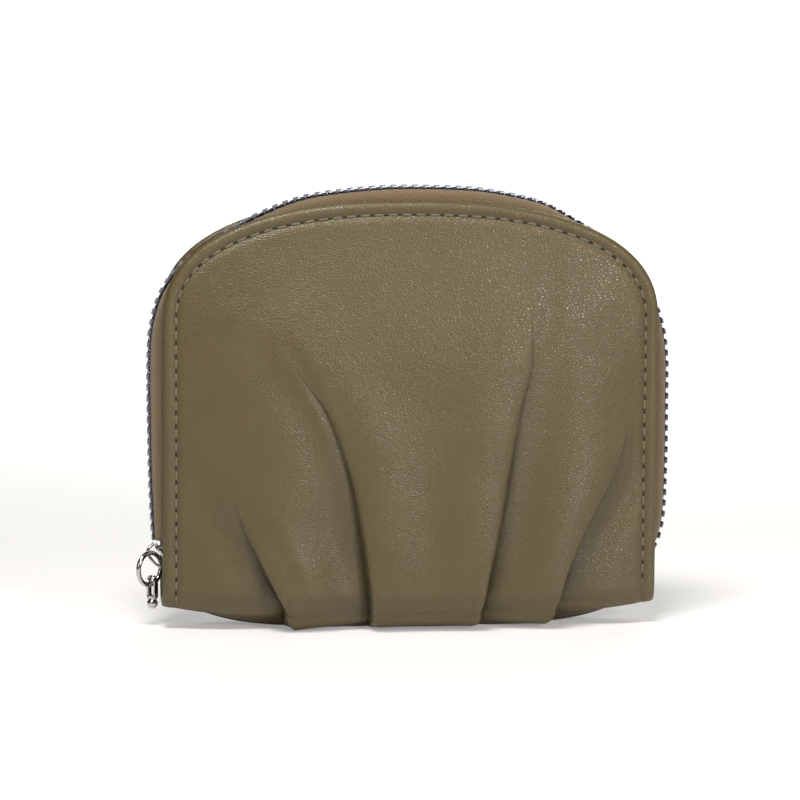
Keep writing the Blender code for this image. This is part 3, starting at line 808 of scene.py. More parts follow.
# %% [markdown]
# ### Leather grain
# Real grain is a net of fine valleys round small rounded pebbles, a bit irregular. Voronoi cells give
# the pebbles, and a little noise bends the net so that no cell looks regular. A second, coarser and
# weaker net adds larger pores, and slow noise gives the mottled dye.

# %% Leather grain group
grain, grain_in, grain_out = new_group(
    "leather_grain",
    [
        ("Vector", "NodeSocketVector", None),
        ("Cells per metre", "NodeSocketFloat", 1800.0),
        ("Bend", "NodeSocketFloat", 0.00022),
    ],
    ("Height", "Valley", "Mottle"),
)
spot, cells = grain_in.outputs["Vector"], grain_in.outputs["Cells per metre"]
noise = add(grain, "ShaderNodeTexNoise", {"Vector": spot, "Scale": 900, "Detail": 2}).outputs["Color"]
vector_maths = "ShaderNodeVectorMath"
centred = add(grain, vector_maths, {0: noise, 1: (0.5, 0.5, 0.5)}, operation="SUBTRACT").outputs[0]
bend_feeds = {0: centred, "Scale": grain_in.outputs["Bend"]}
bend = add(grain, vector_maths, bend_feeds, operation="SCALE").outputs[0]
bent = add(grain, vector_maths, {0: spot, 1: bend}, operation="ADD").outputs[0]
slant = {"Vector": bent, "Rotation": (0, math.radians(-14), 0), "Scale": (0.72, 1.0, 1.12)}
longer = add(grain, "ShaderNodeMapping", slant).outputs[0]


def pebbles(place, scale, edge):
    """Rounded cells: high in the middle, falling away within a distance of their borders."""
    feeds = {"Vector": place, "Scale": scale}
    net = add(grain, "ShaderNodeTexVoronoi", feeds, feature="DISTANCE_TO_EDGE")
    feeds = {"Value": net.outputs["Distance"], "From Max": edge}
    return add(grain, "ShaderNodeMapRange", feeds, interpolation_type="SMOOTHSTEP").outputs[0]


fine = pebbles(longer, cells, 0.32)
coarse = pebbles(bent, times(grain, cells, 0.37), 0.16)
mottle = {"Vector": spot, "Scale": 75, "Detail": 5, "Roughness": 0.6}
feed(grain, grain_out, {
    "Height": plus(grain, times(grain, fine, 0.7), times(grain, coarse, 0.3)),
    "Valley": turned_round(grain, fine),
    "Mottle": add(grain, "ShaderNodeTexNoise", mottle).outputs[0],
})
print("leather grain group has", len(grain.nodes), "nodes")

# %% [markdown]
# ### Twill weave
# Zip tape is a twill: slanting ribs crossed by fine threads. The pattern follows the tape's own UV map,
# which is laid out in metres, so the ribs run along the tape round every bend.

# %% Twill weave group
twill, twill_in, twill_out = new_group(
    "twill_weave",
    [("Vector", "NodeSocketVector", None), ("Ribs per metre", "NodeSocketFloat", 1400.0)],
    ("Height", "Gap", "Fuzz"),
)
flat = add(twill, "ShaderNodeSeparateXYZ", {0: twill_in.outputs["Vector"]})
along, across = flat.outputs[0], flat.outputs[1]


def threads(place):
    """A wave that repeats once for each rib."""
    turns = times(twill, times(twill, place, twill_in.outputs["Ribs per metre"]), 2 * math.pi)
    return maths(twill, "SINE", turns)


rib = threads(plus(twill, along, times(twill, across, 0.8)))
slanted = maths(twill, "SUBTRACT", times(twill, across, 1.7), times(twill, along, 0.35))
woven = plus(twill, times(twill, rib, 0.27), times(twill, threads(slanted), 0.23))
lifted = plus(twill, woven, 0.5, True)
fuzz = {"Vector": twill_in.outputs["Vector"], "Scale": 2500}
feed(twill, twill_out, {
    "Height": lifted,
    "Gap": turned_round(twill, lifted),
    "Fuzz": add(twill, "ShaderNodeTexNoise", fuzz).outputs[0],
})
print("twill group has", len(twill.nodes), "nodes")

# %% [markdown]
# ### Fine marks on metal
# Plated parts pick up hairline scratches and slightly duller patches. Stretched noise gives the lines
# and slow noise the patches, and both metals use them at their own strength.

# %% Handling marks group
marks, marks_in, marks_out = new_group(
    "handling_marks", [("Vector", "NodeSocketVector", None)], ("Height", "Dull")
)
spot = marks_in.outputs["Vector"]
stretch = {"Vector": spot, "Scale": (300, 2600, 900), "Rotation": (0.3, 0.5, 0.4)}
hairs = {"Vector": add(marks, "ShaderNodeMapping", stretch).outputs[0], "Scale": 1, "Detail": 3}
feed(marks, marks_out, {
    "Height": add(marks, "ShaderNodeTexNoise", hairs).outputs[0],
    "Dull": add(marks, "ShaderNodeTexNoise", {"Vector": spot, "Scale": 700}).outputs[0],
})
print("handling marks group has", len(marks.nodes), "nodes")

# %% [markdown]
# ### The materials
# Olive leather is two close olives mixed by the mottled dye, darker in the grain's valleys and with
# painted shade down in the folds, with a soft sheen. The tape is khaki thread. The teeth are nickel,
# its colour darkened and tinted navy as a painted reflection of the dim room, and the pull is bright
# plate.

# %% Leather, tape, thread and metal
# How much the grain's valleys darken the leather, how much painted shade the folds get, and how the
# grain changes its gloss
VALLEY_DARK = 0.32
FOLD_PAINTED_SHADE = 0.68
LEATHER_ROUGH = 0.25
VALLEY_ROUGH = 0.26
MOTTLE_ROUGH = 0.06
LEATHER_SPECULAR = 0.74
LEATHER_DYES = ((0.087, 0.061, 0.0140), (0.116, 0.082, 0.0205))
# Colour of the grain's valleys and of the shade painted into the folds
LEATHER_VALLEY_AND_PAINTED_SHADE = (0.060, 0.045, 0.020)
KHAKI_DYES = ((0.29, 0.205, 0.105), (0.40, 0.295, 0.165))
KHAKI_DARK = (0.075, 0.048, 0.021)
# Strength and distance of each relief
GRAIN_RELIEF = (0.68, 0.00008)
WEAVE_RELIEF = (0.8, 0.00025)
HAIR_RELIEF = (0.25, 0.00002)
PLY_RELIEF = (1.0, 0.00005)


def textured(name, colour, roughness, metallic=0.0):
    """A plain material and the coordinates for its pattern."""
    made, shader = plain_material(name, colour, roughness, metallic)
    tree = made.node_tree
    return made, shader, tree, add(tree, "ShaderNodeTexCoord", {}).outputs


def give_bump(tree, shader, height, strength, distance):
    feeds = {"Height": height, "Strength": strength, "Distance": distance}
    feed(tree, shader, {"Normal": add(tree, "ShaderNodeBump", feeds).outputs[0]})


def leather_finish():
    made, shader, tree, place = textured("olive_leather", (0.15, 0.118, 0.055), 0.45)
    skin = add(tree, "ShaderNodeGroup", {"Vector": place["Object"]}, node_tree=grain).outputs
    dye = blend_colours(tree, skin["Mottle"], *LEATHER_DYES)
    # Painted shade: the folds' attribute darkens the colour down in the folds, on top of the grain's
    # valleys
    painted_shade_of_folds = add(tree, "ShaderNodeAttribute", {}, attribute_name="painted_fold_shade").outputs["Fac"]
    dark = plus(tree, times(tree, skin["Valley"], VALLEY_DARK), times(tree, painted_shade_of_folds, FOLD_PAINTED_SHADE), True)
    rough = plus(tree, times(tree, skin["Valley"], VALLEY_ROUGH), LEATHER_ROUGH)
    feed(tree, shader, {
        "Base Color": blend_colours(tree, dark, dye, LEATHER_VALLEY_AND_PAINTED_SHADE),
        "Roughness": plus(tree, rough, times(tree, skin["Mottle"], MOTTLE_ROUGH)),
        "Specular IOR Level": LEATHER_SPECULAR,
    })
    give_bump(tree, shader, skin["Height"], *GRAIN_RELIEF)
    return made


def tape_finish():
    made, shader, tree, place = textured("khaki_tape", (0.25, 0.19, 0.11), 0.9)
    weave = add(tree, "ShaderNodeGroup", {"Vector": place["UV"]}, node_tree=twill).outputs
    thread = blend_colours(tree, weave["Fuzz"], *KHAKI_DYES)
    khaki = blend_colours(tree, weave["Gap"], thread, KHAKI_DARK)
    feed(tree, shader, {"Base Color": khaki, "Sheen Weight": 0.25})
    give_bump(tree, shader, weave["Height"], *WEAVE_RELIEF)
    return made


def metal_finish(name, colour, roughness, spread):
    made, shader, tree, place = textured(name, colour, roughness, 1.0)
    worn = add(tree, "ShaderNodeGroup", {"Vector": place["Object"]}, node_tree=marks).outputs
    feed(tree, shader, {"Roughness": plus(tree, times(tree, worn["Dull"], spread), roughness)})
    give_bump(tree, shader, worn["Height"], *HAIR_RELIEF)
    return made


def thread_finish(name, light, dark):
    made, shader, tree, place = textured(name, light, 0.7)
    ply = add(tree, "ShaderNodeTexNoise", {"Vector": place["Object"], "Scale": 4000}).outputs[0]
    feed(tree, shader, {"Base Color": blend_colours(tree, ply, light, dark)})
    give_bump(tree, shader, ply, *PLY_RELIEF)
    return made


leather = leather_finish()
tape_cloth = tape_finish()
# Painted reflection: the nickel's colour is darkened and tinted navy to stand for the dim room it
# reflects
tooth_metal = metal_finish("nickel_with_painted_navy_reflection", (0.145, 0.15, 0.205), 0.13, 0.10)
bright_metal = metal_finish("bright_plate", (0.60, 0.575, 0.585), 0.11, 0.08)
stitch_thread = thread_finish("olive_thread", (0.21, 0.195, 0.125), (0.12, 0.11, 0.068))
# Near-black colour of the beads that paint the shadow in the needle holes
painted_hole_shadow = thread_finish("painted_hole_shadow", (0.018, 0.013, 0.009), (0.010, 0.008, 0.006))
print("materials:", [m.name for m in bpy.data.materials if m.users])

# %% [markdown]
# ## The two leather panels
# The front carries the tucks, the back is a plain soft crown. Both take the place of their solids.

# %% Front and back panels


def seat(obj, slot, *nodes):
    """The piece rides on the pouch and may stand for solids; the slot argument is not used."""
    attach(obj, "root")
    if nodes:
        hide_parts(*nodes)
    print(obj.name, "has", len(obj.data.polygons), "faces")


front = grid_sheet("gathered_front", panel_rows(1, -1), -1, LEATHER, -1, leather)
back = grid_sheet("plain_back", panel_rows(0, 1), 1, LEATHER, -1, leather)

# %% [markdown]
# ## Working along a line
# Stitches and teeth both repeat along a line, so a few helpers measure a line: how far along each of
# its points is, which way is outwards, and where the point at some length lies.

# %% Lines and turns


def run_along(line):
    """Length along a line up to each of its points."""
    return np.concatenate([[0], np.cumsum(np.hypot(*np.diff(line, axis=0).T))])


def outwards_of(line):
    """The direction straight away from a line at each of its points, to the outside."""
    along = np.gradient(line, axis=0)
    along /= np.hypot(*along.T)[:, None]
    return np.stack([-along[:, 1], along[:, 0]], 1)


def point_at(line, run, at):
    """The point of a line at a length along it."""
    return np.array([np.interp(at, run, line[:, k]) for k in (0, 1)])


def axes(first, second, third):
    """The turn that brings X, Y and Z onto three directions."""
    return Matrix((first, second, third)).transposed().to_4x4()


print("the rim is", round(run_along(RIM)[-1] / MM, 1), "mm long")

# %% [markdown]
# ## Stitches
# A straight lockstitch shows as short rounded threads that dip into needle holes. One stitch is
# modelled as a sphere whose halves are pulled apart. The row walks along the rim at the stitch length,
# and a ray finds the leather under each one. A near-black flat bead lying on the leather paints the
# shadow in each hole between two stitches.

# %% Stitch rows
STITCH_PITCH = 0.0030
STITCH_LENGTH = 0.0020
STITCH_THICK = 0.00024
STITCH_LIFT = 0.00008
# Size and lift of the near-black beads that paint the shadow in each needle hole
HOLE_SHADOW_LENGTH = 0.00062
HOLE_SHADOW_THICK = 0.00030
HOLE_SHADOW_LIFT = 0.00002
STITCH_START = 0.0066
STITCH_LOOK = 0.0004
STITCH_TILT = 0.4
STITCH_FLAT = 0.8
HOLE_SHADOW_FLAT = 0.35
STITCH_MIDDLE = 0.2
RAY_FROM = 0.05


def bead(name, half_length, radius, flat, material):
    """A sphere pulled apart into a rounded rod along X, flattened along Z."""
    pick_none()
    lying = (0, math.pi / 2, 0)
    bpy.ops.mesh.primitive_uv_sphere_add(segments=8, ring_count=6, radius=radius, rotation=lying)
    obj = bpy.context.object
    obj.name = name
    bpy.ops.object.transform_apply(location=False, rotation=True, scale=False)
    for side in (-1, 1):
        reach = side * (half_length - radius)
        pull_apart(obj, lambda co: co.x * side > radius * STITCH_MIDDLE, (reach, 0, 0))
    mode("EDIT")
    bpy.ops.mesh.select_all(action="SELECT")
    bpy.ops.transform.resize(value=(1, 1, flat))
    mode("OBJECT")
    bpy.ops.object.shade_smooth()
    obj.data.materials.append(material)
    return obj


def copies(template, places, name):
    """One joined piece from copies of a template, each with its own mesh, at the given places."""
    pick_none()
    made = []
    for place in places:
        obj = template.copy()
        obj.data = template.data.copy()
        bpy.context.scene.collection.objects.link(obj)
        obj.matrix_world = place
        obj.select_set(True)
        made.append(obj)
    bpy.data.objects.remove(template)
    bpy.context.view_layer.objects.active = made[0]
    bpy.ops.object.transform_apply(location=True, rotation=True, scale=True)
    bpy.ops.object.join()
    bpy.context.object.name = bpy.context.object.data.name = name
    print(name, "from", len(made), "copies")
    return bpy.context.object


def stitch_places(panel, facing, shift, lift):
    """Places on the leather along the stitch line, one pitch apart, each turned along the line."""
    line = (RIM - outwards_of(RIM) * RIM_WIDTH)[RIM[:, 1] > STITCH_START]
    run = run_along(line)
    places = []
    for k in range(int(run[-1] / STITCH_PITCH)):
        at = (k + shift) * STITCH_PITCH
        ends = [point_at(line, run, at + step) for step in (-STITCH_LOOK, STITCH_LOOK)]
        x, z = (ends[0] + ends[1]) / 2
        before = Vector((x, facing * RAY_FROM, z))
        hit, spot, normal, _ = panel.ray_cast(before, Vector((0, -facing, 0)))
        if not hit:
            continue
        along = Vector((ends[1][0] - ends[0][0], 0, ends[1][1] - ends[0][1])).normalized()
        normal = Vector((normal.x * STITCH_TILT, normal.y, normal.z * STITCH_TILT)).normalized()
        side = normal.cross(along).normalized()
        along = side.cross(normal)
        places.append(Matrix.Translation(spot + normal * lift) @ axes(along, side, normal))
    return places


for panel, facing, name in ((front, -1, "front"), (back, 1, "back")):
    stitch = bead("stitch", STITCH_LENGTH / 2, STITCH_THICK, STITCH_FLAT, stitch_thread)
    places = stitch_places(panel, facing, 0.0, STITCH_LIFT)
    seat(copies(stitch, places, name + "_stitches"), "leather")
    # Painted shadow: a near-black flat bead on the leather at each needle hole
    hole_shadow_bead = bead("hole_shadow_bead", HOLE_SHADOW_LENGTH, HOLE_SHADOW_THICK, HOLE_SHADOW_FLAT, painted_hole_shadow)
    places = stitch_places(panel, facing, 0.5, HOLE_SHADOW_LIFT)
    seat(copies(hole_shadow_bead, places, name + "_hole_shadows"), "leather")
seat(front, "leather", "front_panel")
seat(back, "leather", "back_panel")

# %% [markdown]
# ## The line of the zip
# The chain follows the rim, standing proud of it along the top and the sides and dipping behind the
# leather at the shoulders. A short table gives how proud it stands along its run.

# %% Chain line
CHAIN_WIDTH = 0.0058
CHAIN_THICKNESS = 0.0022
TOOTH_PITCH = 0.00235
CHAIN_PROUD = 0.0031
CHAIN_FOOT_LEFT = 0.0188
CHAIN_FOOT_RIGHT = 0.0130
CHAIN_SMOOTHING = 6
TAPE_THICKNESS = 0.0007
TAPE_TUCKED_IN = 0.0060
TURNED_LIP = 0.0006
FIT_GAP = 0.0003
CHAIN_ROWS = {
    "place": (
        *(0.0, 0.015, 0.04, 0.07, 0.12, 0.16, 0.19, 0.24, 0.285, 0.33, 0.39, 0.47),
        *(0.55, 0.61, 0.64, 0.69, 0.75, 0.785, 0.81, 0.89, 0.93, 0.95, 0.965, 0.98, 1.0),
    ),
    "proud": (
        *(0.70, 0.76, 0.86, 0.93, 1.0, 1.02, 0.95, 0.15, -0.30, 0.05, 0.75, 0.98),
        *(0.98, 0.75, 0.25, -0.30, 0.05, 0.80, 0.98, 1.0, 0.96, 0.90, 0.78, 0.50, -0.40),
    ),
}


def chain_line(steps=400):
    """Middle of the chain, from its left end over the top to its right end, as (x, z) points."""
    half = len(RIM) // 2
    left = int(np.argmin(np.abs(RIM[:half, 1] - CHAIN_FOOT_LEFT)))
    right = half + int(np.argmin(np.abs(RIM[half:, 1] - CHAIN_FOOT_RIGHT)))
    edge = RIM[left : right + 1]
    run = run_along(edge)
    places = np.linspace(0, 1, steps)
    points = point_at(edge, run, places * run[-1]).T
    proud = np.interp(places, CHAIN_ROWS["place"], CHAIN_ROWS["proud"])
    spread = np.hanning(2 * CHAIN_SMOOTHING + 1)
    ends = (np.full(CHAIN_SMOOTHING, proud[0]), np.full(CHAIN_SMOOTHING, proud[-1]))
    proud = np.convolve(np.concatenate([ends[0], proud, ends[1]]), spread / spread.sum(), mode="valid")
    return points + outwards_of(points) * (CHAIN_PROUD * proud - CHAIN_THICKNESS / 2)[:, None]


CHAIN = chain_line()
CHAIN_RUN = run_along(CHAIN)


def chain_at(run):
    """Point and outward direction of the chain at a length from its left end."""
    here = point_at(CHAIN, CHAIN_RUN, max(run - TOOTH_PITCH / 2, 0))
    ahead = point_at(CHAIN, CHAIN_RUN, min(run + TOOTH_PITCH / 2, CHAIN_RUN[-1]))
    along = (ahead - here) / np.hypot(*(ahead - here))
    return point_at(CHAIN, CHAIN_RUN, run), np.array([-along[1], along[0]])


print("chain length", round(CHAIN_RUN[-1] / MM, 1), "mm")

# %% [markdown]
# ## Zip tapes
# Each tape comes out from behind the turned rim and curves over to the teeth, whose legs grip its
# corded edge. A grid follows the curve of the section along the whole run, and its UV map is laid out
# in metres for the weave.

# %% Tapes
TAPE_STEPS = 260
TAPE_ROWS = {
    "across": (-2.7, -1.6, -1.0, -0.72, -0.48, -0.28, -0.12, 0.0, 0.03, 0.0),
    "depth": (3.75, 3.75, 3.74, 3.72, 3.66, 3.52, 3.26, 2.9, 2.5, 2.1),
}


def tape_sheet(name, facing):
    """A tape from under the rim to the teeth, its UV map laid out in metres."""
    rows = []
    runs = np.linspace(0, CHAIN_RUN[-1], TAPE_STEPS)
    points, outs = (np.array(part) for part in zip(*(chain_at(run) for run in runs)))
    under_rim = rim_inner(points[:, 1]) - TURNED_LIP - FIT_GAP - TAPE_THICKNESS / 2
    for across, depth in zip(TAPE_ROWS["across"], TAPE_ROWS["depth"]):
        x, z = (points + outs * across * CHAIN_THICKNESS).T
        rows.append((x, np.minimum(depth * MM, under_rim), z, np.zeros(TAPE_STEPS)))
    obj = grid_sheet(name, rows, facing, TAPE_THICKNESS, 0, tape_cloth)
    uv = obj.data.uv_layers.active or obj.data.uv_layers.new(name="UVMap")
    flat = np.zeros(len(obj.data.loops) * 2)
    uv.data.foreach_get("uv", flat)
    flat = flat.reshape(-1, 2) * (CHAIN_RUN[-1], TAPE_TUCKED_IN + CHAIN_THICKNESS)
    uv.data.foreach_set("uv", flat.ravel())
    return obj


seat(tape_sheet("front_tape", -1), "tape", "zip_tape_front")
seat(tape_sheet("back_tape", 1), "tape", "zip_tape_back")

# %% [markdown]
# ## Teeth
# A metal tooth grips the tape's edge between two legs and hooks into its neighbours with its head. One
# tooth starts as a cube, gets the slot between its legs cut by a Boolean, a narrower head and softly
# bevelled edges, and is then copied along both rows, half a pitch apart.

# %% One tooth, then the chain
TOOTH_WIDTH = 0.00145
TOOTH_HEAD = 0.0014
TOOTH_HEAD_SHARE = 0.72
TOOTH_SLOT = 0.0010
TOOTH_SLOT_DEEP = 0.0013
TOOTH_SLOT_OUT = 0.0001
TOOTH_EDGE = 0.00022
BEVEL_FROM = 40
SMOOTH_UP_TO = 35
FRONT_ROW_START = 0.30
BACK_ROW_START = FRONT_ROW_START + 0.5


def box_piece(name, size, middle):
    """A cube at its size and place, as the start of a piece."""
    pick_none()
    bpy.ops.mesh.primitive_cube_add(size=1, location=middle)
    obj = bpy.context.object
    obj.name = name
    obj.scale = size
    bpy.ops.object.transform_apply(location=True, rotation=False, scale=True)
    return obj


def bevel(obj, width, segments):
    """Round the edges that are sharper than the limit."""
    limit = {"limit_method": "ANGLE", "angle_limit": math.radians(BEVEL_FROM)}
    apply_modifier(obj, "BEVEL", width=width, segments=segments, **limit)


def combine(obj, other, operation):
    """Cut a piece with another or unite them, and use the other one up."""
    apply_modifier(obj, "BOOLEAN", operation=operation, object=other)
    bpy.data.objects.remove(other)


def finish_smooth(obj, degrees, material):
    take(obj)
    bpy.ops.object.shade_smooth_by_angle(angle=math.radians(degrees))
    obj.data.materials.clear()
    obj.data.materials.append(material)


def one_tooth():
    """A tooth with its head towards +Y and its legs round the tape's edge."""
    deep = CHAIN_WIDTH / 2 + TOOTH_HEAD
    tooth = box_piece("tooth", (TOOTH_WIDTH, deep, CHAIN_THICKNESS), (0, TOOTH_HEAD - deep / 2, 0))
    for vert in tooth.data.vertices:
        if vert.co.y > 0:
            vert.co.x *= TOOTH_HEAD_SHARE
            vert.co.z *= TOOTH_HEAD_SHARE
    slot_size = (2 * CHAIN_WIDTH, TOOTH_SLOT_DEEP, TOOTH_SLOT)
    slot_middle = -CHAIN_WIDTH / 2 + TOOTH_SLOT_DEEP / 2 - TOOTH_SLOT_OUT
    combine(tooth, box_piece("slot", slot_size, (0, slot_middle, 0)), "DIFFERENCE")
    bevel(tooth, TOOTH_EDGE, 2)
    finish_smooth(tooth, SMOOTH_UP_TO, tooth_metal)
    return tooth


def tooth_places(start, facing):
    """Places of one row's teeth, its heads facing the other row."""
    places = []
    for k in range(int(CHAIN_RUN[-1] / TOOTH_PITCH)):
        (x, z), (out_x, out_z) = chain_at(k * TOOTH_PITCH + start)
        along = Vector((out_z, 0, -out_x)) * facing
        turn = axes(along, Vector((0, facing, 0)), Vector((out_x, 0, out_z)))
        places.append(Matrix.Translation((x, 0, z)) @ turn)
    return places


front_teeth = copies(one_tooth(), tooth_places(TOOTH_PITCH * FRONT_ROW_START, 1), "front_teeth")
back_teeth = copies(one_tooth(), tooth_places(TOOTH_PITCH * BACK_ROW_START, -1), "back_teeth")
seat(front_teeth, "teeth_metal", "zip_teeth")
seat(back_teeth, "teeth_metal")

# %% [markdown]
# ## The slider
# The slider has two plates that the chain runs between, joined by a wedge. Each plate starts as a cube,
# gets rounded corners by a weighted bevel, and rails that turn towards the chain by a Boolean union.

# %% Slider body
SLIDER_LENGTH = 0.0058
SLIDER_WIDTH = 0.0060
SLIDER_THICKNESS = 0.0026
SLIDER_TAIL = 0.86
SLIDER_LEAN = math.radians(38)
SLIDER_CORNER = 0.0012
PLATE = 0.00062
PLATE_EDGE = 0.00012
RAIL = (0.00055, SLIDER_LENGTH * 0.66, 0.0009)
RAIL_IN = 0.00052
RAIL_DOWN = 0.00050
RAIL_ALONG = 0.0001
WEDGE = (0.0016, 0.0026, SLIDER_THICKNESS - PLATE)
WEDGE_EDGE = 0.0003


def slider_frame():
    """Middle of the slider's top end, its downward direction and the way its bridge faces."""
    (x, z), _ = chain_at(0.0)
    down = Vector((math.sin(SLIDER_LEAN), 0, -math.cos(SLIDER_LEAN)))
    outwards = Vector((-math.cos(SLIDER_LEAN), 0, -math.sin(SLIDER_LEAN)))
    clear = FIT_GAP + SLIDER_THICKNESS / 2 * math.sin(SLIDER_LEAN)
    return Vector((x, 0, z)) + down * clear, down, outwards


def join(first, *others):
    """Several pieces made one, the first with its name."""
    take(first)
    for obj in others:
        obj.select_set(True)
    bpy.ops.object.join()
    return first


def place_piece(obj, matrix):
    """Bring a piece to its place and write the place into its mesh."""
    take(obj)
    obj.matrix_world = matrix
    bpy.ops.object.transform_apply(location=True, rotation=True, scale=True)


def upright(mesh, edge):
    """Whether an edge of a plate runs through its thickness."""
    first, second = (mesh.vertices[v].co.z for v in edge.vertices)
    return abs(first - second) > PLATE / 2


def slider_plate(side):
    """One plate with rounded corners and two rails that turn towards the chain."""
    level = side * (SLIDER_THICKNESS / 2 - PLATE / 2)
    plate = box_piece("plate", (SLIDER_WIDTH, SLIDER_LENGTH, PLATE), (0, 0, level))
    for vert in plate.data.vertices:
        if vert.co.y < 0:
            vert.co.x *= SLIDER_TAIL
    weight = plate.data.attributes.new("bevel_weight_edge", "FLOAT", "EDGE")
    for edge in plate.data.edges:
        weight.data[edge.index].value = float(upright(plate.data, edge))
    apply_modifier(plate, "BEVEL", limit_method="WEIGHT", width=SLIDER_CORNER, segments=5)
    for rail_side in (-1, 1):
        rail_x = rail_side * (SLIDER_WIDTH / 2 - RAIL_IN)
        rail_z = side * (SLIDER_THICKNESS / 2 - RAIL_DOWN)
        rail = box_piece("rail", RAIL, (rail_x, RAIL_ALONG, rail_z))
        combine(plate, rail, "UNION")
    bevel(plate, PLATE_EDGE, 2)
    return plate


top, down, outwards = slider_frame()
slider_turn = axes(Vector((0, 1, 0)), -down, outwards)
outer_plate = slider_plate(1)
inner_plate = slider_plate(-1)
wedge = box_piece("wedge", WEDGE, (0, -WEDGE[1] / 2, 0))
bevel(wedge, WEDGE_EDGE, 2)
slider = join(outer_plate, inner_plate, wedge)
place_piece(slider, Matrix.Translation(top + down * SLIDER_LENGTH / 2) @ slider_turn)
print("slider body", len(slider.data.polygons), "faces")

# %% [markdown]
# ### The bridge
# The bridge is one bent wire. Its points follow a rounded arch, a curve with a round section runs
# through them, and the curve is made a mesh, because only a mesh can be joined to the plates.

# %% Bridge
BRIDGE_PLACE = 0.0021
BRIDGE_LENGTH = 0.0059
BRIDGE_HEIGHT = 0.0027
BRIDGE_METAL = 0.0007
BRIDGE_FOOT = 0.0010
BRIDGE_ROUND = 0.6
BRIDGE_STEPS = 24
BRIDGE_FLAT = 1.2
SAME_POINT = 0.000001


def bent_wire(name, points, thick, flat):
    """A wire along points, made a mesh, its section flattened across."""
    curve = bpy.data.curves.new(name, "CURVE")
    curve.dimensions = "3D"
    curve.bevel_depth = thick / 2
    curve.bevel_resolution = 3
    curve.use_fill_caps = True
    spline = curve.splines.new("POLY")
    spline.points.add(len(points) - 1)
    for point, co in zip(spline.points, points):
        point.co = (*co, 1)
    obj = bpy.data.objects.new(name, curve)
    bpy.context.scene.collection.objects.link(obj)
    take(obj)
    bpy.ops.object.convert(target="MESH")
    mode("EDIT")
    bpy.ops.mesh.select_all(action="SELECT")
    bpy.ops.mesh.remove_doubles(threshold=SAME_POINT)
    bpy.ops.transform.resize(value=(flat, 1, 1))
    bpy.ops.mesh.normals_make_consistent(inside=False)
    mode("OBJECT")
    return bpy.context.object


reach = BRIDGE_LENGTH / 2 - BRIDGE_METAL / 2
crown = SLIDER_THICKNESS / 2 + BRIDGE_HEIGHT - BRIDGE_METAL / 2
arch = []
for k in range(BRIDGE_STEPS + 1):
    turn = math.pi * k / BRIDGE_STEPS
    place = -reach * math.copysign(abs(math.cos(turn)) ** BRIDGE_ROUND, math.cos(turn))
    rise = (crown - BRIDGE_FOOT) * math.sin(turn) ** BRIDGE_ROUND
    arch.append((0, place, BRIDGE_FOOT + rise))
bridge = bent_wire("bridge", arch, BRIDGE_METAL, BRIDGE_FLAT)
place_piece(bridge, Matrix.Translation(top + down * BRIDGE_PLACE) @ slider_turn)
slider = join(slider, bridge)
slider.name = "slider"
finish_smooth(slider, SMOOTH_UP_TO, bright_metal)
seat(slider, "bright_metal", "zip_slider")

# %% [markdown]
# ## The jump ring
# A jump ring is a piece of wire bent round and closed, so a torus is its true shape. Where the wire
# was closed there is a fine seam, made by drawing one round of the torus's points inwards.

# %% Jump ring
RING_OUTER = 0.0080
RING_WIRE = 0.00105
RING_TURN = math.radians(44)
RING_SWING = math.radians(30)
RING_SIDES = 72
RING_SEAT = 0.0006
SEAM_TURN = math.radians(205)
SEAM_THIN = 0.86

lift = SLIDER_THICKNESS / 2 + (BRIDGE_HEIGHT - BRIDGE_METAL) / 2
eye = top + down * (BRIDGE_PLACE - RING_SEAT) + outwards * lift
ring_radius = (RING_OUTER - RING_WIRE) / 2
sideways = Vector((math.cos(RING_TURN), math.sin(RING_TURN), 0))
up = Vector((0, 0, 1))
ring_middle = eye - (sideways * math.sin(RING_SWING) + up * math.cos(RING_SWING)) * ring_radius


def torus(name, radius, wire, sides, wire_sides):
    pick_none()
    bpy.ops.mesh.primitive_torus_add(
        major_radius=radius, minor_radius=wire / 2, major_segments=sides, minor_segments=wire_sides
    )
    bpy.context.object.name = name
    return bpy.context.object


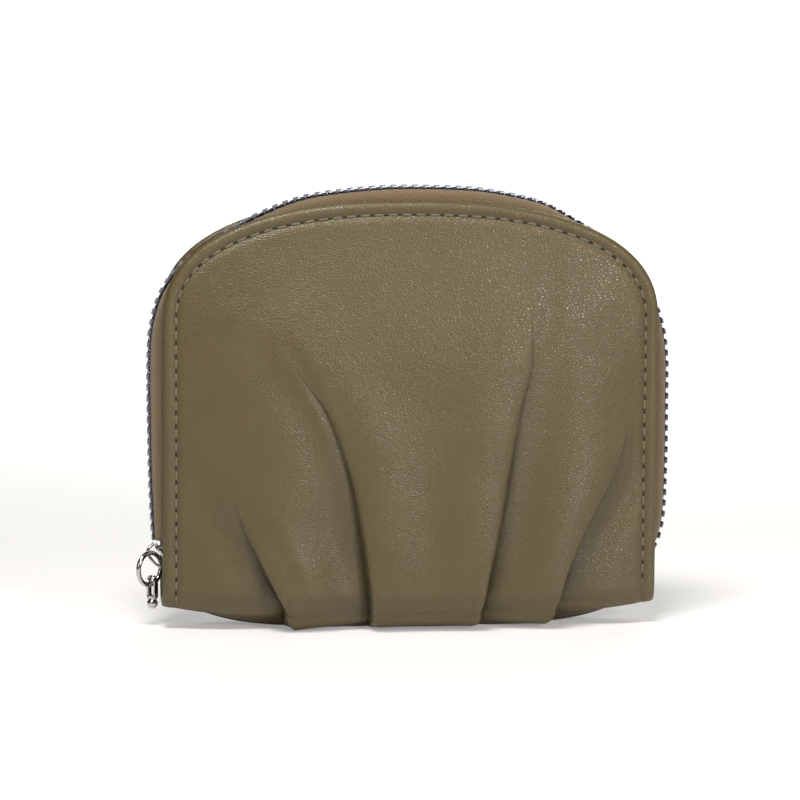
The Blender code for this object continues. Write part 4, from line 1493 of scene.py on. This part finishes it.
ring = torus("jump_ring", ring_radius, RING_WIRE, RING_SIDES, 14)
seam_middle = Vector((math.cos(SEAM_TURN), math.sin(SEAM_TURN), 0)) * ring_radius
for vert in ring.data.vertices:
    turn = math.atan2(vert.co.y, vert.co.x) % (2 * math.pi)
    if abs(turn - SEAM_TURN) < math.pi / RING_SIDES:
        vert.co = seam_middle + (vert.co - seam_middle) * SEAM_THIN
bpy.ops.object.shade_smooth()
ring.data.materials.append(bright_metal)
cross = sideways.cross(up)
place_piece(ring, Matrix.Translation(ring_middle) @ axes(sideways, up, cross))
seat(ring, "bright_metal", "pull_ring")

# %% [markdown]
# ### The drop
# The drop hangs straight down from the lowest point of the ring's wire, whatever the ring's swing. A
# torus pulled apart at its middle gives the long slot, and a neck and a ball close its lower end.

# %% Drop
DROP_PLACE = math.radians(14)
DROP_LENGTH = 0.0074
DROP_WIDTH = 0.0026
DROP_THICKNESS = 0.0017
DROP_WIRE = 0.00062
DROP_FLAT = 0.85
DROP_SPLIT = 0.00001
DROP_TOP = 0.0007
DROP_SMOOTH = 50
DROP_BALL = 0.0024
DROP_BALL_SUNK = 0.0007
NECK = (0.0014, 0.0016, 0.0012)
NECK_UP = 0.0007
NECK_EDGE = 0.0003

aside = ring_radius * math.sin(DROP_PLACE)
hang = ring_middle + sideways * aside
wire_below = math.sqrt(ring_radius**2 - (aside + DROP_THICKNESS / 2) ** 2)
slot_top = hang.z - wire_below + RING_WIRE / 2 * ring_radius / wire_below + FIT_GAP
bar_length = DROP_LENGTH - DROP_BALL + DROP_BALL_SUNK
drop = torus("drop", DROP_WIDTH / 2 - DROP_WIRE / 2, DROP_WIRE, 48, 12)
for side in (-1, 1):
    half = side * (bar_length - DROP_WIDTH) / 2
    pull_apart(drop, lambda co: co.y * side > DROP_SPLIT, (0, half, 0))
for vert in drop.data.vertices:
    vert.co.z *= DROP_THICKNESS / DROP_WIRE * DROP_FLAT
neck = box_piece("neck", NECK, (0, NECK_UP - bar_length / 2, 0))
bevel(neck, NECK_EDGE, 3)
pick_none()
ball_place = (0, bar_length / 2 - DROP_LENGTH + DROP_BALL / 2, 0)
bpy.ops.mesh.primitive_uv_sphere_add(segments=28, ring_count=18, radius=DROP_BALL / 2)
ball = bpy.context.object
place_piece(ball, Matrix.Translation(ball_place))
drop = join(drop, neck, ball)
finish_smooth(drop, DROP_SMOOTH, bright_metal)
drop_place = Vector((hang.x, hang.y, slot_top + DROP_TOP - bar_length / 2))
place_piece(drop, Matrix.Translation(drop_place) @ axes(cross, up, cross.cross(up)))
seat(drop, "bright_metal", "pull_drop")
